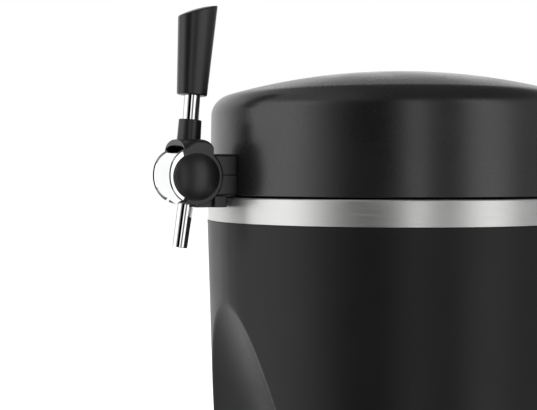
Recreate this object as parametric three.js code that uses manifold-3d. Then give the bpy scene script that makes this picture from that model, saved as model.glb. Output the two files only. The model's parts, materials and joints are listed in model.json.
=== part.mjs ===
// A mini keg beer dispenser: a cooled, insulated cabinet for a small keg, a domed lid that carries
// the tap, a hollow in the front for the glass, and a drip tray below it.
// Millimetres, +Z up, the front faces -Y, and the cabinet's round body stands on a vertical axis.

import * as THREE from 'three';
import { mergeVertices } from 'three/addons/utils/BufferGeometryUtils.js';
import Module from 'manifold-3d';

const wasm = await Module();
wasm.setup();

// Counts and angles of the model's own fineness
const wideSteps = 48;
const roundSteps = 24;
const smallSteps = 16;
const holeSteps = 12;
const hexSides = 6;
const cornerSteps = 3;
const arcSteps = 7;
const quarterDegrees = 90;
const circleSquareness = 2;
const halfTurn = Math.PI;
const quarterTurn = Math.PI / 2;
const perDegree = Math.PI / 180;

// Clearances and cutting allowances
const fitGap = 0.3;
const seatGap = 0.2;
const airGap = 0.6;
const overrun = 5;
const weldDistance = 0.0005;

// Keg and the well that holds it
const kegRadius = 86;
const kegHeight = 250;
const kegPlay = 2.5;
const kegHeadroom = 14;
const wellFloorTop = 36;
const wellWall = 1.5;
const wellFlange = 8;

// Cabinet shell and steel band, with room for foam round the well
const foamRoom = 50;
const footHeight = 4;
const bandHeight = 18;
const bandWall = 1.2;
const bandLip = 4;
const shellProud = 0.6;
const shellTaper = 7.2;
const shellWall = 2.6;

// Arched hollow in the front of the shell
const archApexHeight = 224.6;
const archBendHeight = 160.6;
const archRadius = 120;
const hollowBackRoom = 9;
const archSlopeShare = 0.385;
const archBendSteps = 6;

// Deck round the mouth of the well, and the lid's gasket
const deckThickness = 3;
const deckDrop = 4;
const gasketInset = 15;
const gasketWidth = 6;

// Foam round the well
const foamFloor = 20;

// Base plate, its vents, screws and feet
const basePlateThickness = 2.5;
const ventWidth = 4;
const ventLength = 60;
const ventPitch = 12;
const ventCount = 9;
const ventShift = 12;
const footRadius = 9;
const footSkirt = 1;
const footStem = 2.6;
const footStemHeight = 4.4;
const frontStemHeight = 2.4;
const footInset = 24.8;
const footAngles = [52, 130, 230, 308];
const frontFootInset = 20;
const frontFootAngle = 40;
const screwRadius = 1.5;
const screwHeadRadius = 3.1;
const screwHeadHeight = 1.8;
const bossRadius = 5;
const bossInset = 3;
const bossHeight = 13;
const baseScrewAngles = [90, 155, 205, 270];
const baseScrewLength = 12;
const tongueScrewInset = 9;

// Tray carrier, drip tray and its grille
const trayReach = 75;
const trayRadius = 78;
const trayWall = 2.5;
const trayCarrierTop = 34;
const tongueHalfWidth = 18;
const tongueThickness = 2.2;
const tongueRearRoom = 7;
const trayRimHeight = 4;
const traySideGap = 0.6;
const trayRimWidth = 3.4;
const trayFloorDrop = 27;
const trayPanWall = 2;
const trayLedgeWidth = 2.4;
const grilleThickness = 2;
const grilleSlotWidth = 4;
const grilleSlotPitch = 8;
const grilleSlotRows = 10;
const grilleMargin = 9;
const grilleRib = 8;
const grilleBackInset = 21;
const grilleBackRoom = 1.5;

// Rear housing, its openings and screws
const housingHalfWidth = 60;
const housingDepth = 20;
const housingFootDrop = 20;
const housingTopDrop = 32;
const housingWall = 2.4;
const housingCorner = 14;
const housingScrewSideInset = 10;
const housingScrewInset = 14;
const housingBossDepth = 12;
const louvreHeight = 5;
const louvrePitch = 9;
const louvreSideInset = 20;
const louvreCount = 9;
const sideVentDepth = 12;
const sideVentCount = 9;

// Cooler: cold block, thermoelectric module, heat sink and fan
const coolerHeight = 160;
const coldBlockWidth = 50;
const coldBlockHeight = 60;
const coldBlockDepth = 10;
const moduleSide = 40;
const moduleThickness = 3.9;
const sinkWidth = 84;
const sinkHeight = 100;
const sinkBase = 5;
const finDepth = 22;
const finThickness = 1.6;
const finCount = 12;
const fanSide = 80;
const fanDepth = 15;
const fanBore = 38;
const fanHub = 15;
const fanStrut = 3;
const fanStrutDepth = 2;
const fanAxle = 2.2;
const fanHoleInset = 4.25;
const fanHoleRadius = 2.1;
const bladeCount = 7;
const bladeReach = 36;
const bladeChord = 13;
const bladeThickness = 1.6;
const bladePitchAngle = 42;
const sensorWidth = 8;
const sensorHeight = 18;
const sensorDepth = 7;
const sensorX = 38;

// Control board, mains inlet and power switch
const boardHalfWidth = 40;
const boardHeight = 36;
const boardFanGap = 4;
const boardThickness = 1.6;
const boardFinGap = 8.1;
const boardPostRadius = 3;
const boardPostInset = 4;
const partRise = 11;
const partSide = 14;
const partRadius = 6;
const socketSideShare = 0.4;
const socketDrop = 20;
const inletHalfWidth = 13;
const inletHalfHeight = 8.5;
const inletDepth = 15;
const inletWall = 3.5;
const inletCavityDepth = 13;
const inletPinRadius = 1.2;
const inletPinSpread = 4;
const inletPinLength = 8;
const bezelFlange = 3;
const bezelThickness = 1.8;
const switchHalfWidth = 6.6;
const switchHalfHeight = 10;
const switchWall = 1.7;
const switchDepth = 14;
const rockerPivotDepth = 6;
const rockerHalfHeight = 7;
const rockerProud = 1.2;
const rockerDip = 1.3;
const rockerPinRadius = 1.2;
const rockerTilt = 7;

// Lid hinge
const hingeReach = 9;
const hingeRise = 4.5;
const hingeBarrel = 5.5;
const hingePinRadius = 2.5;
const hingePinHead = 4;
const hingePinHeadWidth = 1.6;
const hingeHalfWidth = 28;
const leafHalfWidth = 9.7;
const hingeFlangeThickness = 3;
const hingeWebThickness = 6;
const hingeFlangeReach = 8;
const hingePegRadius = 2.5;
const hingePegDepth = 6;
const hingePegX = 19;
const hingePegReach = 5;
const leafPlateHalfWidth = 22;
const leafPlateHeight = 30;
const leafPlateThickness = 3;

// Lid shell, liner and foam
const lidGap = 1.2;
const lidInset = 1.4;
const lidWall = 2.6;
const lidDraftShare = 0.0146;
const lidShoulder = 15.8;
const lidDomeShare = 3.2944;
const lidRise = 92.5;
const linerInset = 32;
const linerRise = 49;
const linerWall = 2;
const lidFoamInset = 22.6;
const shoulderSteps = 5;
const domeSteps = 6;
const innerShoulderSteps = 3;
const innerDomeSteps = 4;

// Keg coupler and beer line
const couplerFlangeRadius = 26;
const couplerFlangeHeight = 6;
const couplerBarrelRadius = 17;
const couplerNoseRadius = 12;
const couplerNoseLength = 12;
const couplerBoreRadius = 8;
const couplerSealBore = 6.6;
const couplerSealHeight = 2;
const couplerPortHeight = 36;
const barbRadius = 2.8;
const barbLength = 13;
const lineRadius = 4.5;
const lineBore = 3.1;
const lineStraight = 10;
const lineSteps = 13;
const lineSides = 5;

// Tap: where it sits, its body and its mounting block
const tapStandoff = 29;
const tapRise = 14.6;
const drumRadius = 19.5;
const drumHalfWidth = 16.8;
const blockHalfWidth = 16.8;
const blockBottomRise = 0.9;
const blockHeight = 29.3;
const blockCorner = 2.5;
const blockSplit = 0.3;
const shankRadius = 6;
const shankThreadLength = 14;
const nutRadius = 10.5;
const nutWidth = 6;
const nutClearance = 1.4;
const plugRadius = 8;
const plugShaft = 3;
const portRadius = 3.5;

// Chrome shroud and spout
const shroudWall = 1.5;
const shroudTopAngle = 62;
const shroudEndAngle = -58;
const shroudCheek = 1;
const shroudCheekWidth = 3;
const shroudLipHalfWidth = 7;
const shroudLipStart = -36;
const shroudLipAngle = -66;
const shroudLipRadius = 21.7;
const spoutOffset = 1.2;
const spoutLean = 8.4;
const spoutRoot = 13;
const spoutTip = 49.6;
const spoutRadius = 5.8;
const spoutTipRadius = 5.4;
const spoutBore = 4;

// Lever: yoke, caps, sleeve, rod and grip
const yokeGap = 0.4;
const yokeThickness = 3.3;
const yokeSpanAngle = 32;
const earGap = 0.3;
const earThickness = 1.8;
const earRadius = 16.3;
const capRadius = 15.9;
const capRise = 4.8;
const capEdge = 0.8;
const neckHalfWidth = 14;
const neckHalfDepth = 11.5;
const neckFoot = 19;
const neckTop = 27.4;
const leverLean = 4.6;
const leverTravelAngle = 40;
const leverFoot = 22;
const sleeveFootRadius = 8.2;
const sleeveTopRadius = 7.9;
const sleeveFloor = 2;
const sleeveTop = 17.5;
const rodRadius = 5.8;
const gripBottom = 34.4;
const gripFrontTop = 88.6;
const gripRearTop = 98.8;
const gripCrown = 1.4;
const gripFootDepth = 10.5;
const gripFootWidth = 9;
const gripTopDepth = 13.5;
const gripTopWidth = 10.5;
const gripShift = 0.7;
const gripEdge = 1.2;
const gripSocketDepth = 11;
const gripLevels = 4;
const gripSquareness = 2.6;

// Lid latch below the block
const latchHalfWidth = 11;
const latchFrontInset = 2.6;
const latchBandGap = 2.4;
const latchDrop = 6.6;
const latchThickness = 6;
const latchPivotGap = 9;
const latchPinRadius = 1.4;
const latchPinLength = 2;
const latchLugWidth = 3.2;
const latchLugLength = 8;
const latchNotch = 1.2;
const latchDrumGap = 0.5;

// Sizes that follow from the ones above
const wellBore = kegRadius + kegPlay;
const wellRadius = wellBore + wellWall;
const bandRadius = wellRadius + foamRoom;
const bandTop = wellFloorTop + kegHeight + kegHeadroom;
const shellTopRadius = bandRadius + shellProud;
const shellFootRadius = bandRadius - shellTaper;
const shellTop = bandTop - bandHeight;
const neckRadius = bandRadius - bandWall - fitGap;
const neckBore = neckRadius - shellWall;
const neckTopHeight = bandTop - bandWall - fitGap;
const deckTop = bandTop - deckDrop;
const deckBottom = deckTop - deckThickness;
const gasketRadius = bandRadius - gasketInset;
const lidBottom = bandTop + lidGap;
const lidRadius = bandRadius - lidInset;
const lidDomeRadius = lidRadius * lidDomeShare;
const lidFoamRadius = lidRadius - lidFoamInset;
const lidTop = bandTop + lidRise;
const linerBottom = lidBottom + fitGap / 2;
const linerTop = linerBottom + linerRise;
const linerBore = lidRadius - lidWall - linerInset;
const frontReach = bandRadius + trayReach;
const trayCentre = trayRadius - frontReach;
const archBackReach = wellRadius + hollowBackRoom;
const hollowCentre = -archBackReach - archRadius;
const tongueScrewReach = archBackReach - tongueScrewInset;
const tongueRear = tongueScrewReach - tongueRearRoom;
const footCircle = shellFootRadius - footInset;
const frontFootCircle = trayRadius - frontFootInset;
const grilleBackRow = -trayCentre - grilleBackInset;
const trayRimBottom = trayCarrierTop + seatGap;
const trayRimTop = trayRimBottom + trayRimHeight;
const grilleTop = trayRimTop - seatGap;
const coldBlockRear = wellRadius + coldBlockDepth;
const moduleRear = coldBlockRear + moduleThickness;
const sinkRear = moduleRear + sinkBase;
const finRear = sinkRear + finDepth;
const fanFront = finRear + fitGap;
const fanRear = fanFront + fanDepth;
const boardFront = finRear + boardFinGap;
const boardBottom = coolerHeight - fanSide / 2 - boardFanGap - boardHeight;
const socketHeight = boardBottom - socketDrop;
const housingRear = bandRadius + housingDepth;
const housingBottom = socketHeight - housingFootDrop;
const housingTop = bandTop - housingTopDrop;
const housingScrewX = housingHalfWidth - housingScrewSideInset;
const louvreHalfWidth = housingHalfWidth - louvreSideInset;
const inletX = -housingHalfWidth * socketSideShare;
const switchX = housingHalfWidth * socketSideShare;
const flangeFront = housingRear + seatGap;
const flangeRear = flangeFront + bezelThickness;
const hingeRear = bandRadius + hingeReach;
const hingeFlangeRear = hingeRear + hingeFlangeReach;
const hingePegY = hingeRear + hingePegReach;
const hingeHeight = bandTop + hingeRise;
const couplerBottom = wellFloorTop + kegHeight + couplerSealHeight + airGap;
const couplerTop = linerTop - linerWall - fitGap;
const portHeight = couplerTop - couplerPortHeight / 2;
const tapHeight = bandTop + tapRise;
const tapReach = lidRadius + tapStandoff;
const latchFront = tapReach - latchFrontInset;
const latchRear = bandRadius + latchBandGap;
const latchPivotReach = bandRadius + latchPivotGap;
const earInner = drumHalfWidth + earGap;
const earOuter = earInner + earThickness;
const yokeInner = drumRadius + yokeGap;
const yokeOuter = yokeInner + yokeThickness;
const rockerFace = rockerPivotDepth + rockerProud;
const rockerDepthTurned = rockerFace * Math.cos(rockerTilt * perDegree);
const rockerHeightTurned = rockerHalfHeight * Math.sin(rockerTilt * perDegree);
const rearReach = flangeRear - rockerPivotDepth + rockerDepthTurned + rockerHeightTurned;
const centreShift = (frontReach - rearReach) / 2;

// Finishes, as colour, roughness and metalness
const finishes = {
  satinBlack: { color: 0x17181a, roughness: 0.38, metalness: 0 },
  glossBlack: { color: 0x101113, roughness: 0.2, metalness: 0 },
  brushedSteel: { color: 0xb9bbbd, roughness: 0.34, metalness: 1 },
  chrome: { color: 0xe6e8ea, roughness: 0.06, metalness: 1 },
  aluminium: { color: 0xb2b5b8, roughness: 0.42, metalness: 1 },
  steel: { color: 0x8d9093, roughness: 0.35, metalness: 1 },
  rubber: { color: 0x141414, roughness: 0.85, metalness: 0 },
  foam: { color: 0xd9d2b4, roughness: 0.95, metalness: 0 },
  ceramic: { color: 0xe9e9e4, roughness: 0.6, metalness: 0 },
  greyPlastic: { color: 0x6e7276, roughness: 0.5, metalness: 0 },
  boardGreen: { color: 0x1d5a34, roughness: 0.55, metalness: 0 },
  clearTube: { color: 0xd8dde0, roughness: 0.25, metalness: 0 },
};

// Six times the volume that the triangles enclose, positive when they face outwards
function enclosedVolume(places, corners) {
  let total = 0;
  const a = new THREE.Vector3();
  const b = new THREE.Vector3();
  const c = new THREE.Vector3();
  for (let i = 0; i < corners.length; i += 3) {
    a.fromArray(places, corners[i] * 3);
    b.fromArray(places, corners[i + 1] * 3);
    c.fromArray(places, corners[i + 2] * 3);
    total += a.dot(b.cross(c));
  }
  return total;
}

// A closed solid from a three.js geometry, with its corners merged and its faces outwards
function solidFrom(geometry) {
  const bare = geometry.clone();
  bare.deleteAttribute('normal');
  bare.deleteAttribute('uv');
  const merged = mergeVertices(bare, weldDistance);
  const places = merged.getAttribute('position').array;
  const corners = merged.getIndex().array;
  const kept = [];
  for (let i = 0; i < corners.length; i += 3) {
    const [a, b, c] = [corners[i], corners[i + 1], corners[i + 2]];
    if (a !== b && b !== c && c !== a) kept.push(a, b, c);
  }
  if (enclosedVolume(places, kept) < 0) kept.reverse();
  const vertProperties = new Float32Array(places);
  const triVerts = new Uint32Array(kept);
  return new wasm.Manifold(new wasm.Mesh({ numProp: 3, vertProperties, triVerts }));
}

// A solid turned about the Z axis from an outline of [radius, height] points
function turned(outline, steps = wideSteps) {
  const points = outline.map(([radius, height]) => new THREE.Vector2(radius, height));
  const onAxis = outline[0][0] === 0 && outline[outline.length - 1][0] === 0;
  if (!onAxis) points.push(points[0].clone());
  const geometry = new THREE.LatheGeometry(points, steps);
  geometry.rotateX(quarterTurn);
  return solidFrom(geometry);
}

// A ring or tube about the Z axis
function ring(inner, outer, bottom, top, steps = wideSteps) {
  return turned([[inner, bottom], [outer, bottom], [outer, top], [inner, top]], steps);
}

// A round bar along Z, X or Y, between two places on that axis
function barZ(radius, from, to, x = 0, y = 0, steps = holeSteps) {
  const geometry = new THREE.CylinderGeometry(radius, radius, to - from, steps);
  geometry.rotateX(quarterTurn);
  geometry.translate(x, y, (from + to) / 2);
  return solidFrom(geometry);
}

function barX(radius, from, to, y = 0, z = 0, steps = holeSteps) {
  const geometry = new THREE.CylinderGeometry(radius, radius, to - from, steps);
  geometry.rotateZ(quarterTurn);
  geometry.translate((from + to) / 2, y, z);
  return solidFrom(geometry);
}

function barY(radius, from, to, x = 0, z = 0, steps = holeSteps) {
  const geometry = new THREE.CylinderGeometry(radius, radius, to - from, steps);
  geometry.translate(x, (from + to) / 2, z);
  return solidFrom(geometry);
}

// A box between two places along each axis
function block(x0, x1, y0, y1, z0, z1) {
  const geometry = new THREE.BoxGeometry(x1 - x0, y1 - y0, z1 - z0);
  geometry.translate((x0 + x1) / 2, (y0 + y1) / 2, (z0 + z1) / 2);
  return solidFrom(geometry);
}

// A flat outline in X and Y, raised from one height to another
function plate(shape, bottom, top, curveSegments = cornerSteps) {
  const settings = { depth: top - bottom, bevelEnabled: false, curveSegments };
  const geometry = new THREE.ExtrudeGeometry(shape, settings);
  geometry.translate(0, 0, bottom);
  return solidFrom(geometry);
}

// An outline in Y and Z, carried along X
function profileX(shape, from, to, curveSegments = arcSteps) {
  const settings = { depth: to - from, bevelEnabled: false, curveSegments };
  const geometry = new THREE.ExtrudeGeometry(shape, settings);
  const alongY = new THREE.Vector3(0, 1, 0);
  const alongZ = new THREE.Vector3(0, 0, 1);
  const alongX = new THREE.Vector3(1, 0, 0);
  geometry.applyMatrix4(new THREE.Matrix4().makeBasis(alongY, alongZ, alongX));
  geometry.translate(from, 0, 0);
  return solidFrom(geometry);
}

// A rectangle with rounded corners, as a shape
function roundedRectangle(halfWidth, halfHeight, corner) {
  const shape = new THREE.Shape();
  shape.moveTo(halfWidth, corner - halfHeight);
  shape.lineTo(halfWidth, halfHeight - corner);
  shape.absarc(halfWidth - corner, halfHeight - corner, corner, 0, quarterTurn, false);
  shape.absarc(corner - halfWidth, halfHeight - corner, corner, quarterTurn, halfTurn, false);
  shape.absarc(corner - halfWidth, corner - halfHeight, corner, halfTurn, halfTurn + quarterTurn, false);
  shape.absarc(halfWidth - corner, corner - halfHeight, corner, -quarterTurn, 0, false);
  return shape;
}

// A closed skin over a stack of rings, each a list of as many points, with flat or crowned ends
function lofted(rings, crown = 0) {
  const count = rings[0].length;
  const places = [];
  for (const points of rings) {
    for (const point of points) places.push(point.x, point.y, point.z);
  }
  const corners = [];
  for (let level = 0; level + 1 < rings.length; level += 1) {
    for (let i = 0; i < count; i += 1) {
      const here = level * count + i;
      const next = level * count + (i + 1) % count;
      corners.push(here, next, next + count, here, next + count, here + count);
    }
  }
  const last = (rings.length - 1) * count;
  const ends = [[rings[0], 0], [rings[rings.length - 1], crown]];
  for (const [points, rise] of ends) {
    const middle = new THREE.Vector3();
    points.forEach((point) => middle.add(point));
    middle.divideScalar(count);
    places.push(middle.x, middle.y, middle.z + rise);
  }
  for (let i = 0; i < count; i += 1) {
    const next = (i + 1) % count;
    corners.push(next, i, last + count);
    corners.push(last + i, last + next, last + count + 1);
  }
  const geometry = new THREE.BufferGeometry();
  geometry.setAttribute('position', new THREE.Float32BufferAttribute(places, 3));
  geometry.setIndex(corners);
  return solidFrom(geometry);
}

// One ring of points on a squarish oval, level at its own height
function ovalRing(halfWidth, halfDepth, y, height, squareness, steps) {
  const points = [];
  for (let i = 0; i < steps; i += 1) {
    const angle = (i / steps) * 2 * halfTurn;
    const across = Math.sign(Math.cos(angle)) * Math.abs(Math.cos(angle)) ** (2 / squareness);
    const along = Math.sign(Math.sin(angle)) * Math.abs(Math.sin(angle)) ** (2 / squareness);
    points.push(new THREE.Vector3(halfWidth * across, y + halfDepth * along, height));
  }
  return points;
}

// A curved rod or tube that follows a path
function swept(path, radius, sides, steps) {
  const section = new THREE.Shape();
  section.absarc(0, 0, radius, 0, 2 * halfTurn, false);
  const settings = { steps, curveSegments: sides, bevelEnabled: false, extrudePath: path };
  return solidFrom(new THREE.ExtrudeGeometry(section, settings));
}

// A place on a circle about the Z axis, with its angle from the front, turning to the right
function polar(radius, degrees) {
  const angle = degrees * perDegree;
  return [radius * Math.sin(angle), -radius * Math.cos(angle)];
}

// Joins several solids
function joined(...solids) {
  return solids.flat().reduce((whole, next) => whole.add(next));
}

// A named sub-part
function piece(name, solid, finish) {
  const mesh = solid.getMesh();
  const geometry = new THREE.BufferGeometry();
  geometry.setAttribute('position', new THREE.BufferAttribute(mesh.vertProperties, 3));
  geometry.setIndex(new THREE.BufferAttribute(mesh.triVerts, 1));
  geometry.computeVertexNormals();
  const part = new THREE.Mesh(geometry, new THREE.MeshStandardMaterial(finishes[finish]));
  part.name = name;
  return part;
}

// Outer radius of the shell below the band
function shellRadius(height) {
  const share = (height - footHeight) / (shellTop - footHeight);
  return shellFootRadius + (shellTopRadius - shellFootRadius) * share;
}

// How far forward the back of the hollow lies at a height: it leans in below the apex, then bends upright
function hollowBack(height) {
  const start = -shellRadius(archApexHeight);
  const straight = archApexHeight - archBendHeight;
  const left = -archBackReach - start - archSlopeShare * straight;
  const bend = 2 * left / archSlopeShare;
  const drop = archApexHeight - height;
  if (drop <= straight) return start + archSlopeShare * drop;
  const into = Math.min(drop - straight, bend);
  return start + archSlopeShare * (straight + into - into * into / (2 * bend));
}

// The space of the hollow, or that space grown by a wall
function hollowSpace(grown) {
  const start = -shellRadius(archApexHeight);
  const straight = archApexHeight - archBendHeight;
  const left = -archBackReach - start - archSlopeShare * straight;
  const bend = 2 * left / archSlopeShare;
  const heights = [-overrun];
  for (let i = archBendSteps; i >= 0; i -= 1) heights.push(archBendHeight - bend * i / archBendSteps);
  heights.push(archApexHeight + overrun + grown / archSlopeShare);
  const radius = archRadius + grown;
  const rings = heights.map((height) => {
    const middle = hollowBack(height) - archRadius;
    return ovalRing(radius, radius, middle, height, circleSquareness, wideSteps);
  });
  return lofted(rings);
}

// The full round body below a height, grown by a clearance
function bodyCore(grown, top) {
  const foot = -overrun;
  return turned([[0, foot], [shellRadius(foot) + grown, foot], [shellRadius(top) + grown, top], [0, top]]);
}

// Places of the four housing screws, as [x, height]
function housingScrewPlaces() {
  const low = housingBottom + housingScrewInset;
  const high = housingTop - housingScrewInset;
  return [[-housingScrewX, low], [housingScrewX, low], [-housingScrewX, high], [housingScrewX, high]];
}

// Depth of the shell's outer face behind the axis, at a place on the rear
function shellRear(x, height) {
  return Math.sqrt(shellRadius(height) ** 2 - x ** 2);
}

// Distance of the base screws from the axis
function baseScrewCircle() {
  return shellFootRadius - shellWall - bossInset;
}

function outerShell() {
  const wallTop = shellTop - shellWall;
  const tube = turned([
    [shellFootRadius, footHeight], [shellTopRadius, shellTop], [neckRadius, shellTop],
    [neckRadius, neckTopHeight], [neckBore, neckTopHeight], [neckBore, wallTop],
    [shellTopRadius - shellWall, wallTop], [shellFootRadius - shellWall, footHeight],
  ]);
  const core = bodyCore(0, wallTop).intersect(barZ(bandRadius * 2, footHeight, wallTop));
  const hollowWall = core.intersect(hollowSpace(shellWall));
  const bosses = [];
  const holes = [];
  for (const degrees of baseScrewAngles) {
    const [x, y] = polar(baseScrewCircle(), degrees);
    const foot = footHeight + basePlateThickness + fitGap;
    bosses.push(barZ(bossRadius, foot, foot + bossHeight, x, y).intersect(core));
    holes.push(barZ(screwRadius + fitGap, -overrun, foot + baseScrewLength, x, y));
  }
  for (const [x, height] of housingScrewPlaces()) {
    const rear = shellRear(x, height);
    bosses.push(barY(bossRadius, rear - housingBossDepth, rear + overrun, x, height).intersect(core));
    holes.push(barY(screwRadius + fitGap, rear - housingBossDepth - overrun, rear + overrun, x, height));
  }
  const halfWindow = sinkWidth / 2 + airGap;
  const halfSink = sinkHeight / 2 + airGap;
  const window = block(-halfWindow, halfWindow, coldBlockRear, housingRear,
    coolerHeight - halfSink, coolerHeight + halfSink);
  const notch = carrierTongue(fitGap);
  return joined(tube, hollowWall, bosses).subtract(hollowSpace(0)).subtract(joined(window, notch, holes));
}

function steelBand() {
  const inner = bandRadius - bandWall;
  const lipBottom = bandTop - bandWall;
  const lipInner = bandRadius - bandLip;
  return turned([
    [inner, shellTop + seatGap], [bandRadius, shellTop + seatGap], [bandRadius, bandTop],
    [lipInner, bandTop], [lipInner, lipBottom], [inner, lipBottom],
  ]);
}

function kegWell() {
  const flangeBottom = deckTop + seatGap;
  const flangeTop = flangeBottom + wellWall;
  const outside = wellFloorTop - wellWall;
  return turned([
    [0, outside], [wellRadius, outside], [wellRadius, flangeBottom], [wellRadius + wellFlange, flangeBottom],
    [wellRadius + wellFlange, flangeTop], [wellBore, flangeTop], [wellBore, wellFloorTop], [0, wellFloorTop],
  ]);
}

function topDeck() {
  return ring(wellRadius + fitGap, neckBore - fitGap, deckBottom, deckTop);
}

function lidGasket() {
  const half = gasketWidth / 2;
  const bottom = deckTop + seatGap;
  const top = linerBottom - seatGap;
  const bevel = half / 2;
  return turned([
    [gasketRadius - half, bottom], [gasketRadius + half, bottom], [gasketRadius + half, top - bevel],
    [gasketRadius + bevel, top], [gasketRadius - bevel, top], [gasketRadius - half, top - bevel],
  ], roundSteps);
}

// The pocket in the foam for the cooler, the sensor and the shell's screw bosses
function foamPockets() {
  const halfBlock = coldBlockWidth / 2 + fitGap;
  const low = coolerHeight - coldBlockHeight / 2 - fitGap;
  const high = coolerHeight + coldBlockHeight / 2 + fitGap;
  const halfSink = sinkWidth / 2 + airGap;
  const halfSinkHeight = sinkHeight / 2 + airGap;
  const pockets = [
    block(-halfBlock, halfBlock, kegRadius / 2, moduleRear, low, high),
    block(-halfSink, halfSink, moduleRear - airGap, housingRear,
      coolerHeight - halfSinkHeight, coolerHeight + halfSinkHeight),
    sensorBlock(fitGap),
  ];
  for (const [x, height] of housingScrewPlaces()) {
    const rear = shellRear(x, height);
    const front = rear - housingBossDepth - airGap;
    pockets.push(barY(bossRadius + fitGap, front, rear + overrun, x, height));
  }
  return joined(pockets);
}

function foamJacket() {
  const inset = shellWall + fitGap;
  const top = deckBottom - fitGap;
  const bend = shellTop - shellWall - fitGap;
  const outside = turned([
    [0, foamFloor], [shellRadius(foamFloor) - inset, foamFloor], [shellRadius(bend) - inset, bend],
    [neckBore - fitGap, bend], [neckBore - fitGap, top], [0, top],
  ]);
  const wellSpace = barZ(wellRadius + fitGap, wellFloorTop - wellWall - fitGap, bandTop, 0, 0, wideSteps);
  return outside.subtract(wellSpace).subtract(hollowSpace(shellWall + fitGap)).subtract(foamPockets());
}

// Places of the base screws, as [x, y]: four into the shell's bosses and one into the carrier's tongue
function baseScrewPlaces() {
  return [...baseScrewAngles.map((degrees) => polar(baseScrewCircle(), degrees)), [0, -tongueScrewReach]];
}

function basePlate() {
  const radius = shellFootRadius - shellWall - fitGap;
  const top = footHeight + basePlateThickness;
  const disc = barZ(radius, footHeight, top, 0, 0, wideSteps);
  const cuts = [hollowSpace(shellWall + fitGap)];
  for (let i = 0; i < ventCount; i += 1) {
    const front = ventShift + (i - (ventCount - 1) / 2) * ventPitch - ventWidth / 2;
    cuts.push(block(-ventLength / 2, ventLength / 2, front, front + ventWidth, -overrun, top + overrun));
  }
  for (const degrees of footAngles) {
    const [x, y] = polar(footCircle, degrees);
    cuts.push(barZ(footStem + fitGap, -overrun, top + overrun, x, y));
  }
  for (const [x, y] of baseScrewPlaces()) {
    cuts.push(barZ(screwRadius + fitGap, -overrun, top + overrun, x, y));
  }
  return disc.subtract(joined(cuts));
}

function rubberFoot(x, y, stemHeight) {
  const top = footHeight;
  const foot = turned([
    [0, 0], [footRadius - footSkirt, 0], [footRadius, footSkirt], [footRadius, top],
    [footStem, top], [footStem, top + stemHeight], [0, top + stemHeight],
  ], smallSteps);
  return foot.translate([x, y, 0]);
}

// A pan-headed screw along Z, its head's seat at a height
function uprightScrew(x, y, seat, length) {
  const screw = turned([
    [0, seat - screwHeadHeight], [screwHeadRadius - screwHeadHeight / 2, seat - screwHeadHeight],
    [screwHeadRadius, seat - screwHeadHeight / 2], [screwHeadRadius, seat], [screwRadius, seat],
    [screwRadius, seat + length], [0, seat + length],
  ], holeSteps);
  return screw.translate([x, y, 0]);
}

// The outline shared by the tray carrier, the drip tray and the grille, drawn in by an inset,
// and further at the back by some room
function trayBody(inset, bottom, top, backRoom = 0) {
  const front = barZ(trayRadius - inset, bottom, top, 0, trayCentre, wideSteps);
  const back = barZ(archRadius - fitGap - inset - backRoom, bottom, top, 0, hollowCentre, wideSteps);
  return front.intersect(back);
}

// The tongue that reaches back through the shell onto the base plate, or its notch when grown
function carrierTongue(grown) {
  const bottom = footHeight + basePlateThickness + fitGap - grown;
  const half = tongueHalfWidth + grown;
  const top = bottom + tongueThickness + grown * 2;
  return block(-half, half, -archBackReach - trayWall, -tongueRear, bottom, top);
}

function trayCarrier() {
  const floor = footHeight + basePlateThickness;
  const cavity = trayBody(trayWall, floor, trayCarrierTop + overrun);
  const holes = [frontFootAngle, -frontFootAngle].map((degrees) => {
    const [x, y] = polar(frontFootCircle, degrees);
    return barZ(footStem + fitGap, -overrun, floor + overrun, x, y + trayCentre);
  });
  const screwFoot = floor + fitGap;
  const boss = barZ(bossRadius, screwFoot, screwFoot + bossHeight / 2, 0, -tongueScrewReach);
  holes.push(barZ(screwRadius + fitGap, 0, bandTop, 0, -tongueScrewReach));
  const shape = joined(trayBody(0, footHeight, trayCarrierTop), carrierTongue(0), boss);
  return shape.subtract(cavity).subtract(joined(holes));
}

function dripTray() {
  const outside = trayWall + traySideGap;
  const floor = trayCarrierTop - trayFloorDrop;
  const ledge = grilleTop - grilleThickness - seatGap;
  const pan = trayBody(outside, floor, trayRimBottom + trayPanWall);
  const rim = trayBody(0, trayRimBottom, trayRimTop);
  const seat = trayBody(trayRimWidth, ledge, trayRimTop + overrun);
  const inside = trayBody(trayRimWidth + trayLedgeWidth, floor + trayPanWall, trayRimTop + overrun);
  return pan.add(rim).subtract(seat).subtract(inside);
}

function dripGrille() {
  const deck = trayBody(trayRimWidth + fitGap, grilleTop - grilleThickness, grilleTop, grilleBackRoom);
  const frontReachOfSlots = trayRadius - grilleMargin;
  const backReachOfSlots = archRadius - fitGap - grilleMargin - grilleBackRoom;
  const slots = [];
  for (let i = 0; i < grilleSlotRows; i += 1) {
    const y = -grilleBackRow - i * grilleSlotPitch;
    const far = Math.max(Math.abs(y - trayCentre), Math.abs(y - grilleSlotWidth / 2 - trayCentre));
    const near = y - hollowCentre;
    const half = Math.sqrt(Math.max(Math.min(frontReachOfSlots ** 2 - far ** 2,
      backReachOfSlots ** 2 - near ** 2), grilleRib ** 2));
    for (const side of [-1, 1]) {
      const edges = [side * grilleRib / 2, side * half].sort((a, b) => a - b);
      slots.push(block(edges[0], edges[1], y - grilleSlotWidth, y, grilleTop - overrun, grilleTop + overrun));
    }
  }
  return deck.subtract(joined(slots));
}

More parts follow.
